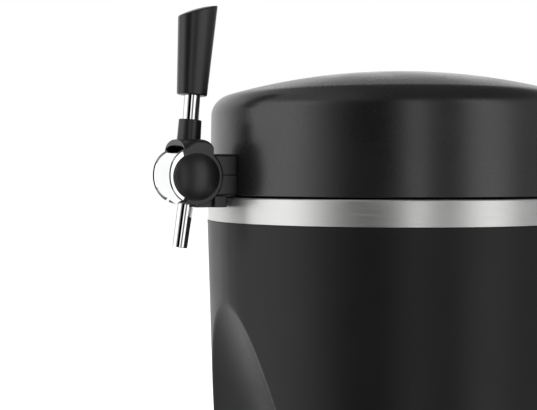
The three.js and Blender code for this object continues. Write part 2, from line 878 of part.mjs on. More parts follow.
// The rear housing's outline in plan, drawn in by a wall
function housingOutline(inset) {
  const shape = new THREE.Shape();
  const half = housingHalfWidth - inset;
  const rear = housingRear - inset;
  const corner = housingCorner - inset;
  shape.moveTo(-half, coldBlockRear);
  shape.lineTo(half, coldBlockRear);
  shape.lineTo(half, rear - corner);
  shape.absarc(half - corner, rear - corner, corner, 0, quarterTurn, false);
  shape.absarc(corner - half, rear - corner, corner, quarterTurn, halfTurn, false);
  return shape;
}

// Corners of the control board's posts, as [x, height]
function boardPostPlaces() {
  const x = boardHalfWidth - boardPostInset;
  const low = boardBottom + boardPostInset;
  const high = boardBottom + boardHeight - boardPostInset;
  return [[-x, low], [x, low], [-x, high], [x, high]];
}

// A hole through the housing's rear wall for a panel body
function panelOpening(x, halfWidth, halfHeight) {
  const across = halfWidth + fitGap;
  const up = halfHeight + fitGap;
  const innerFace = housingRear - housingWall;
  return block(x - across, x + across, innerFace - fitGap, housingRear + overrun,
    socketHeight - up, socketHeight + up);
}

function rearHousing() {
  const shellSpace = bodyCore(fitGap, housingTop + overrun);
  const box = plate(housingOutline(0), housingBottom, housingTop);
  const inside = plate(housingOutline(housingWall), housingBottom + housingWall, housingTop - housingWall);
  const innerFace = housingRear - housingWall;
  const outside = housingRear + overrun;
  const posts = [];
  const cuts = [];
  for (const [x, height] of housingScrewPlaces()) {
    posts.push(barY(bossRadius, coldBlockRear, innerFace + fitGap, x, height));
    cuts.push(barY(screwRadius + fitGap, coldBlockRear - overrun, outside, x, height));
    cuts.push(barY(screwHeadRadius + fitGap, housingRear - screwHeadHeight, outside, x, height));
  }
  for (const [x, height] of boardPostPlaces()) {
    posts.push(barY(boardPostRadius, boardFront + boardThickness + seatGap, innerFace + fitGap, x, height));
  }
  for (let i = 0; i < louvreCount; i += 1) {
    const z = coolerHeight + (i - (louvreCount - 1) / 2) * louvrePitch;
    cuts.push(block(-louvreHalfWidth, louvreHalfWidth, innerFace - fitGap, outside,
      z - louvreHeight / 2, z + louvreHeight / 2));
  }
  for (let i = 0; i < sideVentCount; i += 1) {
    const z = coolerHeight + (i - (sideVentCount - 1) / 2) * louvrePitch;
    const rear = housingRear - housingCorner;
    cuts.push(block(-housingHalfWidth - overrun, housingHalfWidth + overrun, rear - sideVentDepth, rear,
      z - louvreHeight / 2, z + louvreHeight / 2));
  }
  cuts.push(panelOpening(inletX, inletHalfWidth, inletHalfHeight));
  cuts.push(panelOpening(switchX, switchHalfWidth, switchHalfHeight));
  for (const side of [-1, 1]) {
    cuts.push(barZ(hingePegRadius + fitGap, housingTop - housingWall - overrun, bandTop, side * hingePegX,
      hingePegY));
  }
  return box.subtract(inside).add(joined(posts)).subtract(shellSpace).subtract(joined(cuts));
}

// A screw along Y, driven forward through the rear housing into the shell's boss
function housingScrew(x, height) {
  const tip = shellRear(x, height) - housingBossDepth / 2;
  const seat = housingRear - screwHeadHeight + seatGap;
  const shaft = barY(screwRadius, tip, seat + fitGap, x, height);
  const head = barY(screwHeadRadius, seat, housingRear + seatGap, x, height);
  return shaft.add(head);
}

function coldBlock() {
  const half = coldBlockWidth / 2;
  const low = coolerHeight - coldBlockHeight / 2;
  const high = coolerHeight + coldBlockHeight / 2;
  const solid = block(-half, half, kegRadius / 2, coldBlockRear, low, high);
  return solid.subtract(barZ(wellRadius + fitGap, 0, bandTop, 0, 0, wideSteps));
}

function coolerModule() {
  const half = moduleSide / 2;
  return block(-half, half, coldBlockRear, moduleRear, coolerHeight - half, coolerHeight + half);
}

function heatSink() {
  const half = sinkWidth / 2;
  const low = coolerHeight - sinkHeight / 2;
  const high = coolerHeight + sinkHeight / 2;
  const solids = [block(-half, half, moduleRear, sinkRear, low, high)];
  const pitch = (sinkWidth - finThickness) / (finCount - 1);
  for (let i = 0; i < finCount; i += 1) {
    const x = i * pitch - half;
    solids.push(block(x, x + finThickness, sinkRear - fitGap, finRear, low, high));
  }
  return joined(solids);
}

function fanFrame() {
  const half = fanSide / 2;
  const middle = fanRear - fanStrutDepth;
  const frame = block(-half, half, fanFront, fanRear, coolerHeight - half, coolerHeight + half);
  const cuts = [barY(fanBore, fanFront - overrun, fanRear + overrun, 0, coolerHeight, roundSteps)];
  for (const side of [-1, 1]) {
    for (const level of [-1, 1]) {
      const x = side * (half - fanHoleInset);
      const z = coolerHeight + level * (half - fanHoleInset);
      cuts.push(barY(fanHoleRadius, fanFront - overrun, fanRear + overrun, x, z));
    }
  }
  const struts = [
    block(-half, half, middle, fanRear, coolerHeight - fanStrut / 2, coolerHeight + fanStrut / 2),
    block(-fanStrut / 2, fanStrut / 2, middle, fanRear, coolerHeight - half, coolerHeight + half),
    barY(fanHub, middle, fanRear, 0, coolerHeight, roundSteps),
    barY(fanAxle, fanFront + fanStrutDepth, middle + fitGap, 0, coolerHeight),
  ];
  return frame.subtract(joined(cuts)).add(joined(struts));
}

function fanRotor() {
  const front = fanFront + fanStrutDepth / 2;
  const rear = fanRear - fanStrutDepth - airGap;
  const hub = barY(fanHub, front, rear, 0, coolerHeight, roundSteps);
  const bore = barY(fanAxle + fitGap, front + fanStrutDepth / 2, rear + overrun, 0, coolerHeight);
  const blades = [];
  for (let i = 0; i < bladeCount; i += 1) {
    const length = bladeReach - fanHub / 2;
    const geometry = new THREE.BoxGeometry(length, bladeThickness, bladeChord);
    geometry.rotateX(bladePitchAngle * perDegree);
    geometry.translate(bladeReach - length / 2, (front + rear) / 2, 0);
    geometry.rotateY((i / bladeCount) * 2 * halfTurn);
    geometry.translate(0, 0, coolerHeight);
    blades.push(solidFrom(geometry));
  }
  return joined(hub, blades).subtract(bore);
}

// The temperature sensor beside the cold block, or its pocket when grown
function sensorBlock(grown) {
  const half = sensorWidth / 2 + grown;
  const halfHeight = sensorHeight / 2 + grown;
  const face = Math.sqrt(wellRadius ** 2 - sensorX ** 2);
  return block(sensorX - half, sensorX + half, face - sensorWidth, face + sensorDepth + grown,
    coolerHeight - halfHeight, coolerHeight + halfHeight);
}

function temperatureSensor() {
  return sensorBlock(0).subtract(barZ(wellRadius + fitGap, 0, bandTop, 0, 0, wideSteps));
}

function controlBoard() {
  const rear = boardFront + boardThickness;
  const top = boardBottom + boardHeight;
  const board = block(-boardHalfWidth, boardHalfWidth, boardFront, rear, boardBottom, top);
  const middle = boardBottom + boardHeight / 2;
  const base = rear - fitGap;
  const parts = [
    block(-partSide / 2, partSide / 2, base, rear + partRise, middle - partSide / 2, middle + partSide / 2),
    barY(partRadius, base, rear + partRise, partSide + partRadius, middle),
    barY(partRadius / 2, base, rear + partRise, -partSide, middle),
  ];
  return joined(board, parts);
}

// A body with a flange, let into the housing's rear wall
function panelBody(x, halfWidth, halfHeight, depth) {
  const body = block(x - halfWidth, x + halfWidth, housingRear - depth, flangeRear,
    socketHeight - halfHeight, socketHeight + halfHeight);
  const flange = block(x - halfWidth - bezelFlange, x + halfWidth + bezelFlange, flangeFront, flangeRear,
    socketHeight - halfHeight - bezelFlange, socketHeight + halfHeight + bezelFlange);
  return body.add(flange);
}

function powerInlet() {
  const floor = flangeRear - inletCavityDepth;
  const half = inletHalfWidth - inletWall;
  const halfHeight = inletHalfHeight - inletWall;
  const cavity = block(inletX - half, inletX + half, floor, flangeRear + overrun,
    socketHeight - halfHeight, socketHeight + halfHeight);
  const pins = [-1, 1].map((side) => barY(inletPinRadius, floor - fitGap, floor + inletPinLength,
    inletX + side * inletPinSpread, socketHeight));
  return panelBody(inletX, inletHalfWidth, inletHalfHeight, inletDepth).subtract(cavity).add(joined(pins));
}

// Place of the rocker's pivot behind the axis
function rockerPivot() {
  return flangeRear - rockerPivotDepth;
}

function switchBezel() {
  const half = switchHalfWidth - switchWall;
  const halfHeight = switchHalfHeight - switchWall;
  const cavity = block(switchX - half, switchX + half, housingRear - switchDepth + switchWall,
    flangeRear + overrun, socketHeight - halfHeight, socketHeight + halfHeight);
  const reach = half + switchWall / 2;
  const pinHole = barX(rockerPinRadius + seatGap, switchX - reach, switchX + reach,
    rockerPivot(), socketHeight);
  const body = panelBody(switchX, switchHalfWidth, switchHalfHeight, switchDepth);
  return body.subtract(cavity).subtract(pinHole);
}

function powerSwitch() {
  const half = switchHalfWidth - switchWall - fitGap;
  const face = rockerPivotDepth + rockerProud;
  const shape = new THREE.Shape();
  shape.moveTo(-rockerPinRadius * 2, -rockerPinRadius * 2);
  shape.lineTo(face - rockerDip, -rockerHalfHeight);
  shape.lineTo(face, -rockerHalfHeight);
  shape.lineTo(face - rockerDip, 0);
  shape.lineTo(face, rockerHalfHeight);
  shape.lineTo(face - rockerDip, rockerHalfHeight);
  shape.lineTo(-rockerPinRadius * 2, rockerPinRadius * 2);
  const pinReach = half + fitGap + switchWall / 2 - fitGap;
  const rocker = profileX(shape, -half, half).add(barX(rockerPinRadius, -pinReach, pinReach, 0, 0));
  return rocker.rotate([-rockerTilt, 0, 0]).translate([switchX, rockerPivot(), socketHeight]);
}

function hingeBracket() {
  const front = bandRadius + lidWall;
  const flangeTop = housingTop + hingeFlangeThickness;
  const web = hingeWebThickness / 2;
  const half = hingeHalfWidth;
  const foot = housingTop + seatGap;
  const solids = [
    block(-half, half, front, hingeFlangeRear, foot, flangeTop),
    block(-half, half, hingeRear - web, hingeRear + web, foot, hingeHeight),
    barX(hingeBarrel, -half, half, hingeRear, hingeHeight, smallSteps),
    ...[-1, 1].map((side) => barZ(hingePegRadius, housingTop - hingePegDepth, flangeTop, side * hingePegX,
      hingePegY)),
  ];
  const gap = leafHalfWidth + fitGap;
  const reach = hingeBarrel + airGap;
  const cuts = [
    block(-gap, gap, hingeRear - reach, hingeRear + reach, hingeHeight - reach, hingeHeight + reach),
    barX(hingePinRadius + fitGap, -half - overrun, half + overrun, hingeRear, hingeHeight),
  ];
  return joined(solids).subtract(joined(cuts));
}

function hingePin() {
  const end = hingeHalfWidth + fitGap;
  const tip = end + hingePinHeadWidth;
  const solids = [barX(hingePinRadius, -tip, tip, hingeRear, hingeHeight)];
  for (const side of [-1, 1]) {
    const edges = [side * end, side * tip].sort((a, b) => a - b);
    solids.push(barX(hingePinHead, edges[0], edges[1], hingeRear, hingeHeight));
  }
  return joined(solids);
}

function lidHingeLeaf() {
  const bottom = lidBottom;
  const top = bottom + leafPlateHeight;
  const outside = barZ(lidRadius + leafPlateThickness, bottom, top, 0, 0, wideSteps);
  const reachBlock = block(-leafPlateHalfWidth, leafPlateHalfWidth, bandRadius / 2, hingeRear, bottom, top);
  const lift = hingeHeight + hingeBarrel;
  const solids = [
    outside.intersect(reachBlock),
    block(-leafHalfWidth, leafHalfWidth, bandRadius / 2, hingeRear, bottom, lift),
    barX(hingeBarrel, -leafHalfWidth, leafHalfWidth, hingeRear, hingeHeight, smallSteps),
  ];
  const bore = barX(hingePinRadius + fitGap, -hingeHalfWidth, hingeHalfWidth, hingeRear, hingeHeight);
  return joined(solids).subtract(lidCore(fitGap)).subtract(bore);
}

// The lid's outline from its rim to the apex, drawn in by a wall: wall, shoulder arc, dome arc
function lidOutline(inset, arcs = shoulderSteps, rings = domeSteps) {
  const bottom = lidBottom;
  const centreHeight = lidTop - lidDomeRadius;
  const dome = lidDomeRadius - inset;
  const shoulder = lidShoulder - inset;
  const wallRadius = lidRadius - lidDraftShare * (lidRise - lidShoulder * 2);
  const shoulderRadius = wallRadius - lidShoulder;
  const shoulderHeight = centreHeight + Math.sqrt((lidDomeRadius - lidShoulder) ** 2 - shoulderRadius ** 2);
  const turn = Math.atan2(shoulderHeight - centreHeight, shoulderRadius);
  const points = [[lidRadius - inset, bottom]];
  for (let i = 0; i <= arcs; i += 1) {
    const angle = turn * i / arcs;
    points.push([shoulderRadius + shoulder * Math.cos(angle), shoulderHeight + shoulder * Math.sin(angle)]);
  }
  for (let i = 1; i <= rings; i += 1) {
    const angle = turn + (quarterTurn - turn) * i / rings;
    const radius = i === rings ? 0 : dome * Math.cos(angle);
    points.push([radius, centreHeight + dome * Math.sin(angle)]);
  }
  return points;
}

// The lid's full volume, grown by a clearance
function lidCore(grown) {
  return turned([[0, lidBottom - overrun], [lidRadius + grown, lidBottom - overrun], ...lidOutline(-grown)]);
}

function lidShell() {
  const inside = lidOutline(lidWall, innerShoulderSteps, innerDomeSteps).reverse();
  const shell = turned([...lidOutline(0), ...inside]);
  const hole = barY(shankRadius + fitGap, -tapReach, -linerBore, 0, tapHeight);
  return shell.subtract(hole);
}

function lidLiner() {
  const rim = lidRadius - lidWall - fitGap;
  const flangeTop = linerBottom + linerWall;
  const liner = turned([
    [0, linerTop], [linerBore + linerWall, linerTop], [linerBore + linerWall, flangeTop],
    [rim, flangeTop], [rim, linerBottom], [linerBore, linerBottom],
    [linerBore, linerTop - linerWall], [0, linerTop - linerWall],
  ]);
  return liner.subtract(barY(lineRadius + fitGap, -lidRadius, 0, 0, tapHeight));
}

function lidFoam() {
  const centreHeight = lidTop - lidDomeRadius;
  const dome = lidDomeRadius - lidWall - airGap;
  const edgeHeight = centreHeight + Math.sqrt(dome ** 2 - lidFoamRadius ** 2) - lidShoulder / 2;
  const start = Math.acos((lidFoamRadius - lidShoulder) / dome);
  const bottom = linerTop + seatGap;
  const points = [[0, bottom], [lidFoamRadius, bottom], [lidFoamRadius, edgeHeight]];
  for (let i = 0; i <= innerDomeSteps; i += 1) {
    const angle = start + (quarterTurn - start) * i / innerDomeSteps;
    const radius = i === innerDomeSteps ? 0 : dome * Math.cos(angle);
    points.push([radius, centreHeight + dome * Math.sin(angle)]);
  }
  return turned(points, roundSteps);
}

function couplerBody() {
  const noseTop = couplerBottom + couplerNoseLength;
  const flangeBottom = couplerTop - couplerFlangeHeight;
  const body = turned([
    [0, couplerTop], [couplerFlangeRadius, couplerTop], [couplerFlangeRadius, flangeBottom],
    [couplerBarrelRadius, flangeBottom], [couplerBarrelRadius, noseTop], [couplerNoseRadius, noseTop],
    [couplerNoseRadius, couplerBottom], [couplerBoreRadius, couplerBottom], [couplerBoreRadius, noseTop],
    [0, noseTop],
  ], roundSteps);
  const barbFront = -couplerBarrelRadius - barbLength;
  const barb = barY(barbRadius, barbFront, -couplerBoreRadius, 0, portHeight);
  return body.add(barb);
}

function couplerSeal() {
  const top = couplerBottom - seatGap;
  return ring(couplerSealBore, couplerNoseRadius, top - couplerSealHeight, top, roundSteps);
}

// Where the shank's thread ends, in front of the axis
function shankThreadEnd() {
  return lidRadius - lidWall - shankThreadLength;
}

function beerLine() {
  const front = -shankThreadEnd() + fitGap;
  const rear = -couplerBarrelRadius - fitGap;
  const path = new THREE.CatmullRomCurve3([
    new THREE.Vector3(0, front, tapHeight),
    new THREE.Vector3(0, front + lineStraight, tapHeight),
    new THREE.Vector3(0, front + lineStraight * 2, tapHeight),
    new THREE.Vector3(0, (front + rear) / 2, (tapHeight + portHeight) / 2),
    new THREE.Vector3(0, rear - lineStraight * 2, portHeight),
    new THREE.Vector3(0, rear - lineStraight, portHeight),
    new THREE.Vector3(0, rear, portHeight),
  ]);
  return swept(path, lineRadius, lineSides, lineSteps).subtract(swept(path, lineBore, lineSides, lineSteps));
}

function tapShank() {
  const front = -tapReach + plugRadius + portRadius;
  const thread = barY(shankRadius, front, -shankThreadEnd(), 0, tapHeight);
  const barbFront = -shankThreadEnd() - fitGap;
  const barb = barY(barbRadius, barbFront, barbFront + barbLength, 0, tapHeight);
  const bore = barY(barbRadius / 2, -tapReach, 0, 0, tapHeight);
  return thread.add(barb).subtract(bore);
}

function shankNut() {
  const front = lidWall + nutClearance - lidRadius;
  const nut = barY(nutRadius, front, front + nutWidth, 0, tapHeight, hexSides);
  return nut.subtract(barY(shankRadius + fitGap, -tapReach, 0, 0, tapHeight));
}

// The mounting block between the tap's drum and the lid's wall, before it is split in two
function mountingBlock() {
  const bottom = bandTop + blockBottomRise;
  const shape = roundedRectangle(blockHalfWidth, blockHeight / 2, blockCorner);
  const settings = { depth: tapReach, bevelEnabled: false, curveSegments: cornerSteps };
  const geometry = new THREE.ExtrudeGeometry(shape, settings);
  geometry.rotateX(quarterTurn);
  geometry.translate(0, 0, bottom + blockHeight / 2);
  const cuts = [
    lidCore(fitGap),
    drumSpace(fitGap),
    barY(shankRadius + fitGap, -tapReach, 0, 0, tapHeight),
  ];
  const aheadOfDrum = block(-drumHalfWidth * 2, drumHalfWidth * 2, -tapReach - drumRadius * 2, -tapReach,
    0, lidTop);
  return solidFrom(geometry).subtract(joined(cuts)).subtract(aheadOfDrum);
}

// The drum's space where the tap is mounted, grown by a clearance
function drumSpace(grown) {
  return barX(drumRadius + grown, -drumHalfWidth * 2, drumHalfWidth * 2, -tapReach, tapHeight, roundSteps);
}

// The lugs below the block that carry the latch's pins
function latchLugs() {
  const inner = latchHalfWidth + fitGap;
  const bottom = bandTop - latchDrop;
  return [-1, 1].map((side) => {
    const edges = [side * inner, side * (inner + latchLugWidth)].sort((a, b) => a - b);
    const lug = block(edges[0], edges[1], -latchPivotReach - latchLugLength / 2,
      -latchPivotReach + latchLugLength / 2, bottom, bandTop + blockBottomRise + blockCorner);
    const pinHole = barX(latchPinRadius + seatGap, -blockHalfWidth, blockHalfWidth, -latchPivotReach,
      latchPivotHeight());
    return lug.subtract(pinHole).subtract(drumSpace(fitGap));
  });
}

function latchPivotHeight() {
  return bandTop - latchDrop + latchThickness / 2;
}

// The split runs level through the middle of the block
function blockMiddle() {
  return bandTop + blockBottomRise + blockHeight / 2;
}

function blockUpper() {
  const keep = block(-bandRadius, bandRadius, -tapReach * 2, 0, blockMiddle() + blockSplit / 2, lidTop);
  return mountingBlock().intersect(keep);
}

function blockLower() {
  const keep = block(-bandRadius, bandRadius, -tapReach * 2, 0, 0, blockMiddle() - blockSplit / 2);
  return mountingBlock().intersect(keep).add(joined(latchLugs()));
}

function lidLatch() {
  const bottom = bandTop - latchDrop;
  const top = bottom + latchThickness;
  const tongue = block(-latchHalfWidth, latchHalfWidth, -latchFront, -latchRear, bottom, top);
  const reach = latchHalfWidth + latchPinLength;
  const pin = barX(latchPinRadius, -reach, reach, -latchPivotReach, latchPivotHeight());
  const spoutSpace = spoutBar(spoutRadius + latchNotch, 0, spoutTip).translate([0, -tapReach, tapHeight]);
  return tongue.add(pin).subtract(drumSpace(latchDrumGap)).subtract(spoutSpace);
}

// A band of an annulus about the pivot, between two angles measured up from the front
function arcBand(inner, outer, fromDegrees, toDegrees) {
  const start = halfTurn - toDegrees * perDegree;
  const end = halfTurn - fromDegrees * perDegree;
  const shape = new THREE.Shape();
  shape.absarc(0, 0, outer, start, end, false);
  shape.absarc(0, 0, inner, end, start, true);
  return shape;
}

// The lip at the bottom of the shroud, which runs straight down in front of the spout
function lipShape(inner, outer, lipRadius) {
  const start = halfTurn - shroudLipStart * perDegree;
  const end = halfTurn - shroudLipAngle * perDegree;
  const shape = new THREE.Shape();
  shape.moveTo(outer * Math.cos(start), outer * Math.sin(start));
  shape.lineTo(lipRadius * Math.cos(end), lipRadius * Math.sin(end));
  shape.lineTo(inner * Math.cos(end), inner * Math.sin(end));
  shape.absarc(0, 0, inner, end, start, true);
  return shape;
}

// The shroud, or the seat that the drum keeps for it when grown
function shroudSolid(grown) {
  const inner = drumRadius - shroudWall - grown;
  const outer = drumRadius + grown;
  const cheekInner = drumHalfWidth - shroudCheek - grown;
  const width = drumHalfWidth + grown;
  const lipWidth = shroudLipHalfWidth + grown;
  const from = shroudEndAngle;
  const to = shroudTopAngle;
  const cheekShape = arcBand(drumRadius - shroudCheekWidth - grown, outer, from, to);
  const solids = [
    profileX(arcBand(inner, outer, from, to), -width, width),
    profileX(cheekShape, cheekInner, width),
    profileX(cheekShape, -width, -cheekInner),
    profileX(lipShape(inner, outer, shroudLipRadius), -lipWidth, lipWidth),
  ];
  return joined(solids);
}

// The spout's space in the drum, about its own leaning axis
function spoutBar(radius, from, to) {
  return barZ(radius, -to, -from).rotate([-spoutLean, 0, 0]).translate([0, spoutOffset, 0]);
}

// The tap's fixed body, about the pivot
function tapBody() {
  const drum = barX(drumRadius, -drumHalfWidth, drumHalfWidth, 0, 0, roundSteps);
  const shankEnd = plugRadius + portRadius - fitGap;
  const cuts = [
    barX(plugRadius + fitGap, -drumHalfWidth * 2, drumHalfWidth * 2, 0, 0, roundSteps),
    barY(shankRadius + fitGap, shankEnd, drumRadius * 2),
    barY(portRadius, 0, drumRadius),
    spoutBar(spoutRadius + fitGap, spoutRoot - fitGap, drumRadius * 2),
    spoutBar(spoutBore, plugRadius / 2, drumRadius),
    shroudSolid(fitGap),
  ];
  return drum.subtract(joined(cuts));
}

// The chrome shroud round the front of the drum, clear of the spout
function tapShroud() {
  return shroudSolid(0).subtract(spoutBar(spoutRadius + fitGap, spoutRoot - fitGap, drumRadius * 2));
}

// The spout, a tapered tube that leans forward on its way down
function spout() {
  const tube = turned([
    [spoutBore, -spoutRoot], [spoutRadius, -spoutRoot], [spoutTipRadius, -spoutTip], [spoutBore, -spoutTip],
  ], smallSteps);
  return tube.rotate([-spoutLean, 0, 0]).translate([0, spoutOffset, 0]);
}

// The turning plug: its bent port meets the inlet and the spout when the lever is pulled forward
function valvePlug() {
  const body = barX(plugRadius, -drumHalfWidth, drumHalfWidth, 0, 0, roundSteps);
  const shaftEnd = earOuter + earThickness / 2;
  const shaft = barX(plugShaft, -shaftEnd, shaftEnd);
  const legs = [
    barY(portRadius, 0, plugRadius * 2, 0, 0),
    barZ(portRadius, -plugRadius * 2, 0, 0, 0),
  ];
  const port = joined(legs).rotate([-leverTravelAngle, 0, 0]);
  return body.add(shaft).subtract(port);
}

// A ring of points moved from the lever's own leaning frame to the tap's
function leaning(points) {
  const alongX = new THREE.Vector3(1, 0, 0);
  return points.map((point) => {
    const turnedPoint = point.clone().applyAxisAngle(alongX, -leverLean * perDegree);
    turnedPoint.z += leverFoot;
    return turnedPoint;
  });
}

// The yoke: a saddle over the drum, an ear on each side and a neck up to the sleeve
function leverYoke() {
  const middle = quarterDegrees;
  const saddle = profileX(arcBand(yokeInner, yokeOuter, middle - yokeSpanAngle, middle + yokeSpanAngle),
    -earOuter, earOuter);
  const wedge = arcBand(plugShaft, yokeOuter, middle - yokeSpanAngle, middle + yokeSpanAngle);
  const neckRing = ovalRing(sleeveFootRadius, sleeveFootRadius, 0, neckTop - leverFoot,
    circleSquareness, roundSteps);
  const neck = lofted([
    ovalRing(neckHalfWidth, neckHalfDepth, 0, neckFoot, gripSquareness, roundSteps),
    ovalRing((neckHalfWidth + sleeveFootRadius) / 2, (neckHalfDepth + sleeveFootRadius) / 2, 0,
      neckTop - (neckTop - neckFoot) / 3, gripSquareness, roundSteps),
    leaning(neckRing),
  ]);
  const openMiddle = barX(yokeInner, -earInner, earInner, 0, 0, roundSteps);
  const ears = [[-earOuter, -earInner], [earInner, earOuter]].map(([from, to]) => {
    const disc = barX(earRadius, from, to, 0, 0, roundSteps);
    return disc.add(profileX(wedge, from, to));
  });
  const bore = barX(plugShaft + fitGap, -earOuter * 2, earOuter * 2);
  return joined(saddle, neck.subtract(openMiddle), ears).subtract(bore);
}

// A domed cap over an ear, on the right for side 1 and on the left for side -1
function leverCap(side) {
  const pocket = plugShaft + airGap;
  const rise = capRise - capEdge;
  const sphere = (capRadius ** 2 + rise ** 2) / (2 * rise);
  const reach = Math.asin(capRadius / sphere);
  const points = [[0, earThickness], [pocket, earThickness], [pocket, 0], [capRadius, 0]];
  for (let i = 0; i <= innerDomeSteps; i += 1) {
    const angle = reach * (1 - i / innerDomeSteps);
    points.push([sphere * Math.sin(angle), capRise - sphere + sphere * Math.cos(angle)]);
  }
  const cap = turned(points, roundSteps).rotate([0, side * quarterDegrees, 0]);
  return cap.translate([side * (earOuter + seatGap), 0, 0]);
}

// The black sleeve at the lever's foot, along the lever's own axis
function leverSleeve() {
  const bottom = neckTop - leverFoot + fitGap;
  return turned([
    [0, bottom], [sleeveFootRadius, bottom], [sleeveTopRadius, sleeveTop], [rodRadius + fitGap, sleeveTop],
    [rodRadius + fitGap, bottom + sleeveFloor], [0, bottom + sleeveFloor],
  ], roundSteps);
}

function leverRod() {
  const bottom = neckTop - leverFoot + sleeveFloor + fitGap * 2;
  return barZ(rodRadius, bottom, gripBottom + gripSocketDepth - fitGap, 0, 0, smallSteps);
}

// The grip: a squarish oval that widens upwards to a slanted, crowned top
function leverGrip() {
  const rings = [ovalRing(gripFootWidth - gripEdge, gripFootDepth - gripEdge, gripShift, gripBottom,
    gripSquareness, roundSteps)];
  for (let i = 0; i <= gripLevels; i += 1) {
    const share = i / gripLevels;
    const width = gripFootWidth + (gripTopWidth - gripFootWidth) * share;
    const depth = gripFootDepth + (gripTopDepth - gripFootDepth) * share;
    const points = ovalRing(width, depth, gripShift, 0, gripSquareness, roundSteps);
    rings.push(points.map((point) => {
      const along = (point.y - gripShift + depth) / (2 * depth);
      const topHeight = gripFrontTop + (gripRearTop - gripFrontTop) * along - gripEdge;
      const footHeightHere = gripBottom + gripEdge;
      return new THREE.Vector3(point.x, point.y, footHeightHere + (topHeight - footHeightHere) * share);
    }));
  }
  const topRing = ovalRing(gripTopWidth - gripEdge, gripTopDepth - gripEdge, gripShift, 0,
    gripSquareness, roundSteps);
  rings.push(topRing.map((point) => {
    const along = (point.y - gripShift + gripTopDepth) / (2 * gripTopDepth);
    return new THREE.Vector3(point.x, point.y, gripFrontTop + (gripRearTop - gripFrontTop) * along);
  }));
  const socket = barZ(rodRadius + fitGap, gripBottom - overrun, gripBottom + gripSocketDepth);
  return lofted(rings, gripCrown).subtract(socket);
}

// The cabinet: everything that stands still
function cabinet() {
  const group = new THREE.Group();
  group.add(
    piece('outer_shell', outerShell(), 'satinBlack'),
    piece('steel_band', steelBand(), 'brushedSteel'),
    piece('keg_well', kegWell(), 'aluminium'),
    piece('top_deck', topDeck(), 'satinBlack'),
    piece('lid_gasket', lidGasket(), 'rubber'),
    piece('foam_jacket', foamJacket(), 'foam'),
    piece('base_plate', basePlate(), 'satinBlack'),
    piece('tray_carrier', trayCarrier(), 'satinBlack'),
    piece('rear_housing', rearHousing(), 'satinBlack'),
    piece('cold_block', coldBlock(), 'aluminium'),
    piece('cooler_module', coolerModule(), 'ceramic'),
    piece('heat_sink', heatSink(), 'aluminium'),
    piece('fan_frame', fanFrame(), 'greyPlastic'),
    piece('fan_rotor', fanRotor(), 'greyPlastic'),
    piece('temperature_sensor', temperatureSensor(), 'greyPlastic'),
    piece('control_board', controlBoard(), 'boardGreen'),
    piece('power_inlet', powerInlet(), 'glossBlack'),
    piece('switch_bezel', switchBezel(), 'glossBlack'),
    piece('power_switch', powerSwitch(), 'glossBlack'),
    piece('hinge_bracket', hingeBracket(), 'satinBlack'),
    piece('hinge_pin', hingePin(), 'steel'),
    piece('drip_tray', dripTray(), 'satinBlack'),
    piece('drip_grille', dripGrille(), 'brushedSteel'),
  );
  footAngles.forEach((degrees, index) => {
    const [x, y] = polar(footCircle, degrees);
    group.add(piece(`foot_${index + 1}`, rubberFoot(x, y, footStemHeight), 'rubber'));
  });
  [frontFootAngle, -frontFootAngle].forEach((degrees, index) => {
    const [x, y] = polar(frontFootCircle, degrees);
    group.add(piece(`front_foot_${index + 1}`, rubberFoot(x, y + trayCentre, frontStemHeight), 'rubber'));
  });
  baseScrewPlaces().forEach(([x, y], index) => {
    const screw = uprightScrew(x, y, footHeight - seatGap, baseScrewLength);
    group.add(piece(`base_screw_${index + 1}`, screw, 'steel'));
  });
  housingScrewPlaces().forEach(([x, height], index) => {
    group.add(piece(`housing_screw_${index + 1}`, housingScrew(x, height), 'steel'));
  });
  return group;
}

// The lid and what it carries, apart from the tap
function lid() {
  const group = new THREE.Group();
  group.add(
    piece('lid_shell', lidShell(), 'satinBlack'),
    piece('lid_liner', lidLiner(), 'greyPlastic'),
    piece('lid_foam', lidFoam(), 'foam'),
    piece('lid_hinge_leaf', lidHingeLeaf(), 'satinBlack'),
    piece('coupler_body', couplerBody(), 'greyPlastic'),
    piece('coupler_seal', couplerSeal(), 'rubber'),
    piece('beer_line', beerLine(), 'clearTube'),
    piece('tap_shank', tapShank(), 'steel'),
    piece('shank_nut', shankNut(), 'steel'),
    piece('block_upper', blockUpper(), 'satinBlack'),
    piece('block_lower', blockLower(), 'satinBlack'),
    piece('lid_latch', lidLatch(), 'satinBlack'),
  );
  return group;
}

// The tap about its pivot, with the lever leaning back from the yoke
function tap() {
  const lever = new THREE.Group();
  lever.add(
    piece('lever_sleeve', leverSleeve(), 'satinBlack'),
    piece('lever_rod', leverRod(), 'chrome'),
    piece('lever_grip', leverGrip(), 'satinBlack'),
  );
  lever.position.z = leverFoot;
  lever.rotation.x = -leverLean * perDegree;
  const group = new THREE.Group();
  group.add(
    piece('tap_body', tapBody(), 'glossBlack'),
    piece('tap_shroud', tapShroud(), 'chrome'),
    piece('spout', spout(), 'chrome'),
    piece('valve_plug', valvePlug(), 'steel'),
    piece('lever_yoke', leverYoke(), 'glossBlack'),
    piece('lever_cap_right', leverCap(1), 'glossBlack'),
    piece('lever_cap_left', leverCap(-1), 'glossBlack'),
    lever,
  );
  group.position.set(0, -tapReach, tapHeight);
  return group;
}

const dispenser = new THREE.Group();
dispenser.add(cabinet(), lid(), tap());
dispenser.position.y = centreShift;

export default dispenser;
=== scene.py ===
"""Looks of a mini keg beer dispenser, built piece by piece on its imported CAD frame.

Sizes are millimetres about the cabinet's own upright axis: x runs to the right, y to the rear and z up,
and the front faces -y. A mesh is turned into metres of the frame only when its object is made.
"""
from __future__ import annotations

import json
import logging
import math
from dataclasses import dataclass, field
from enum import Enum
from typing import Callable, Sequence

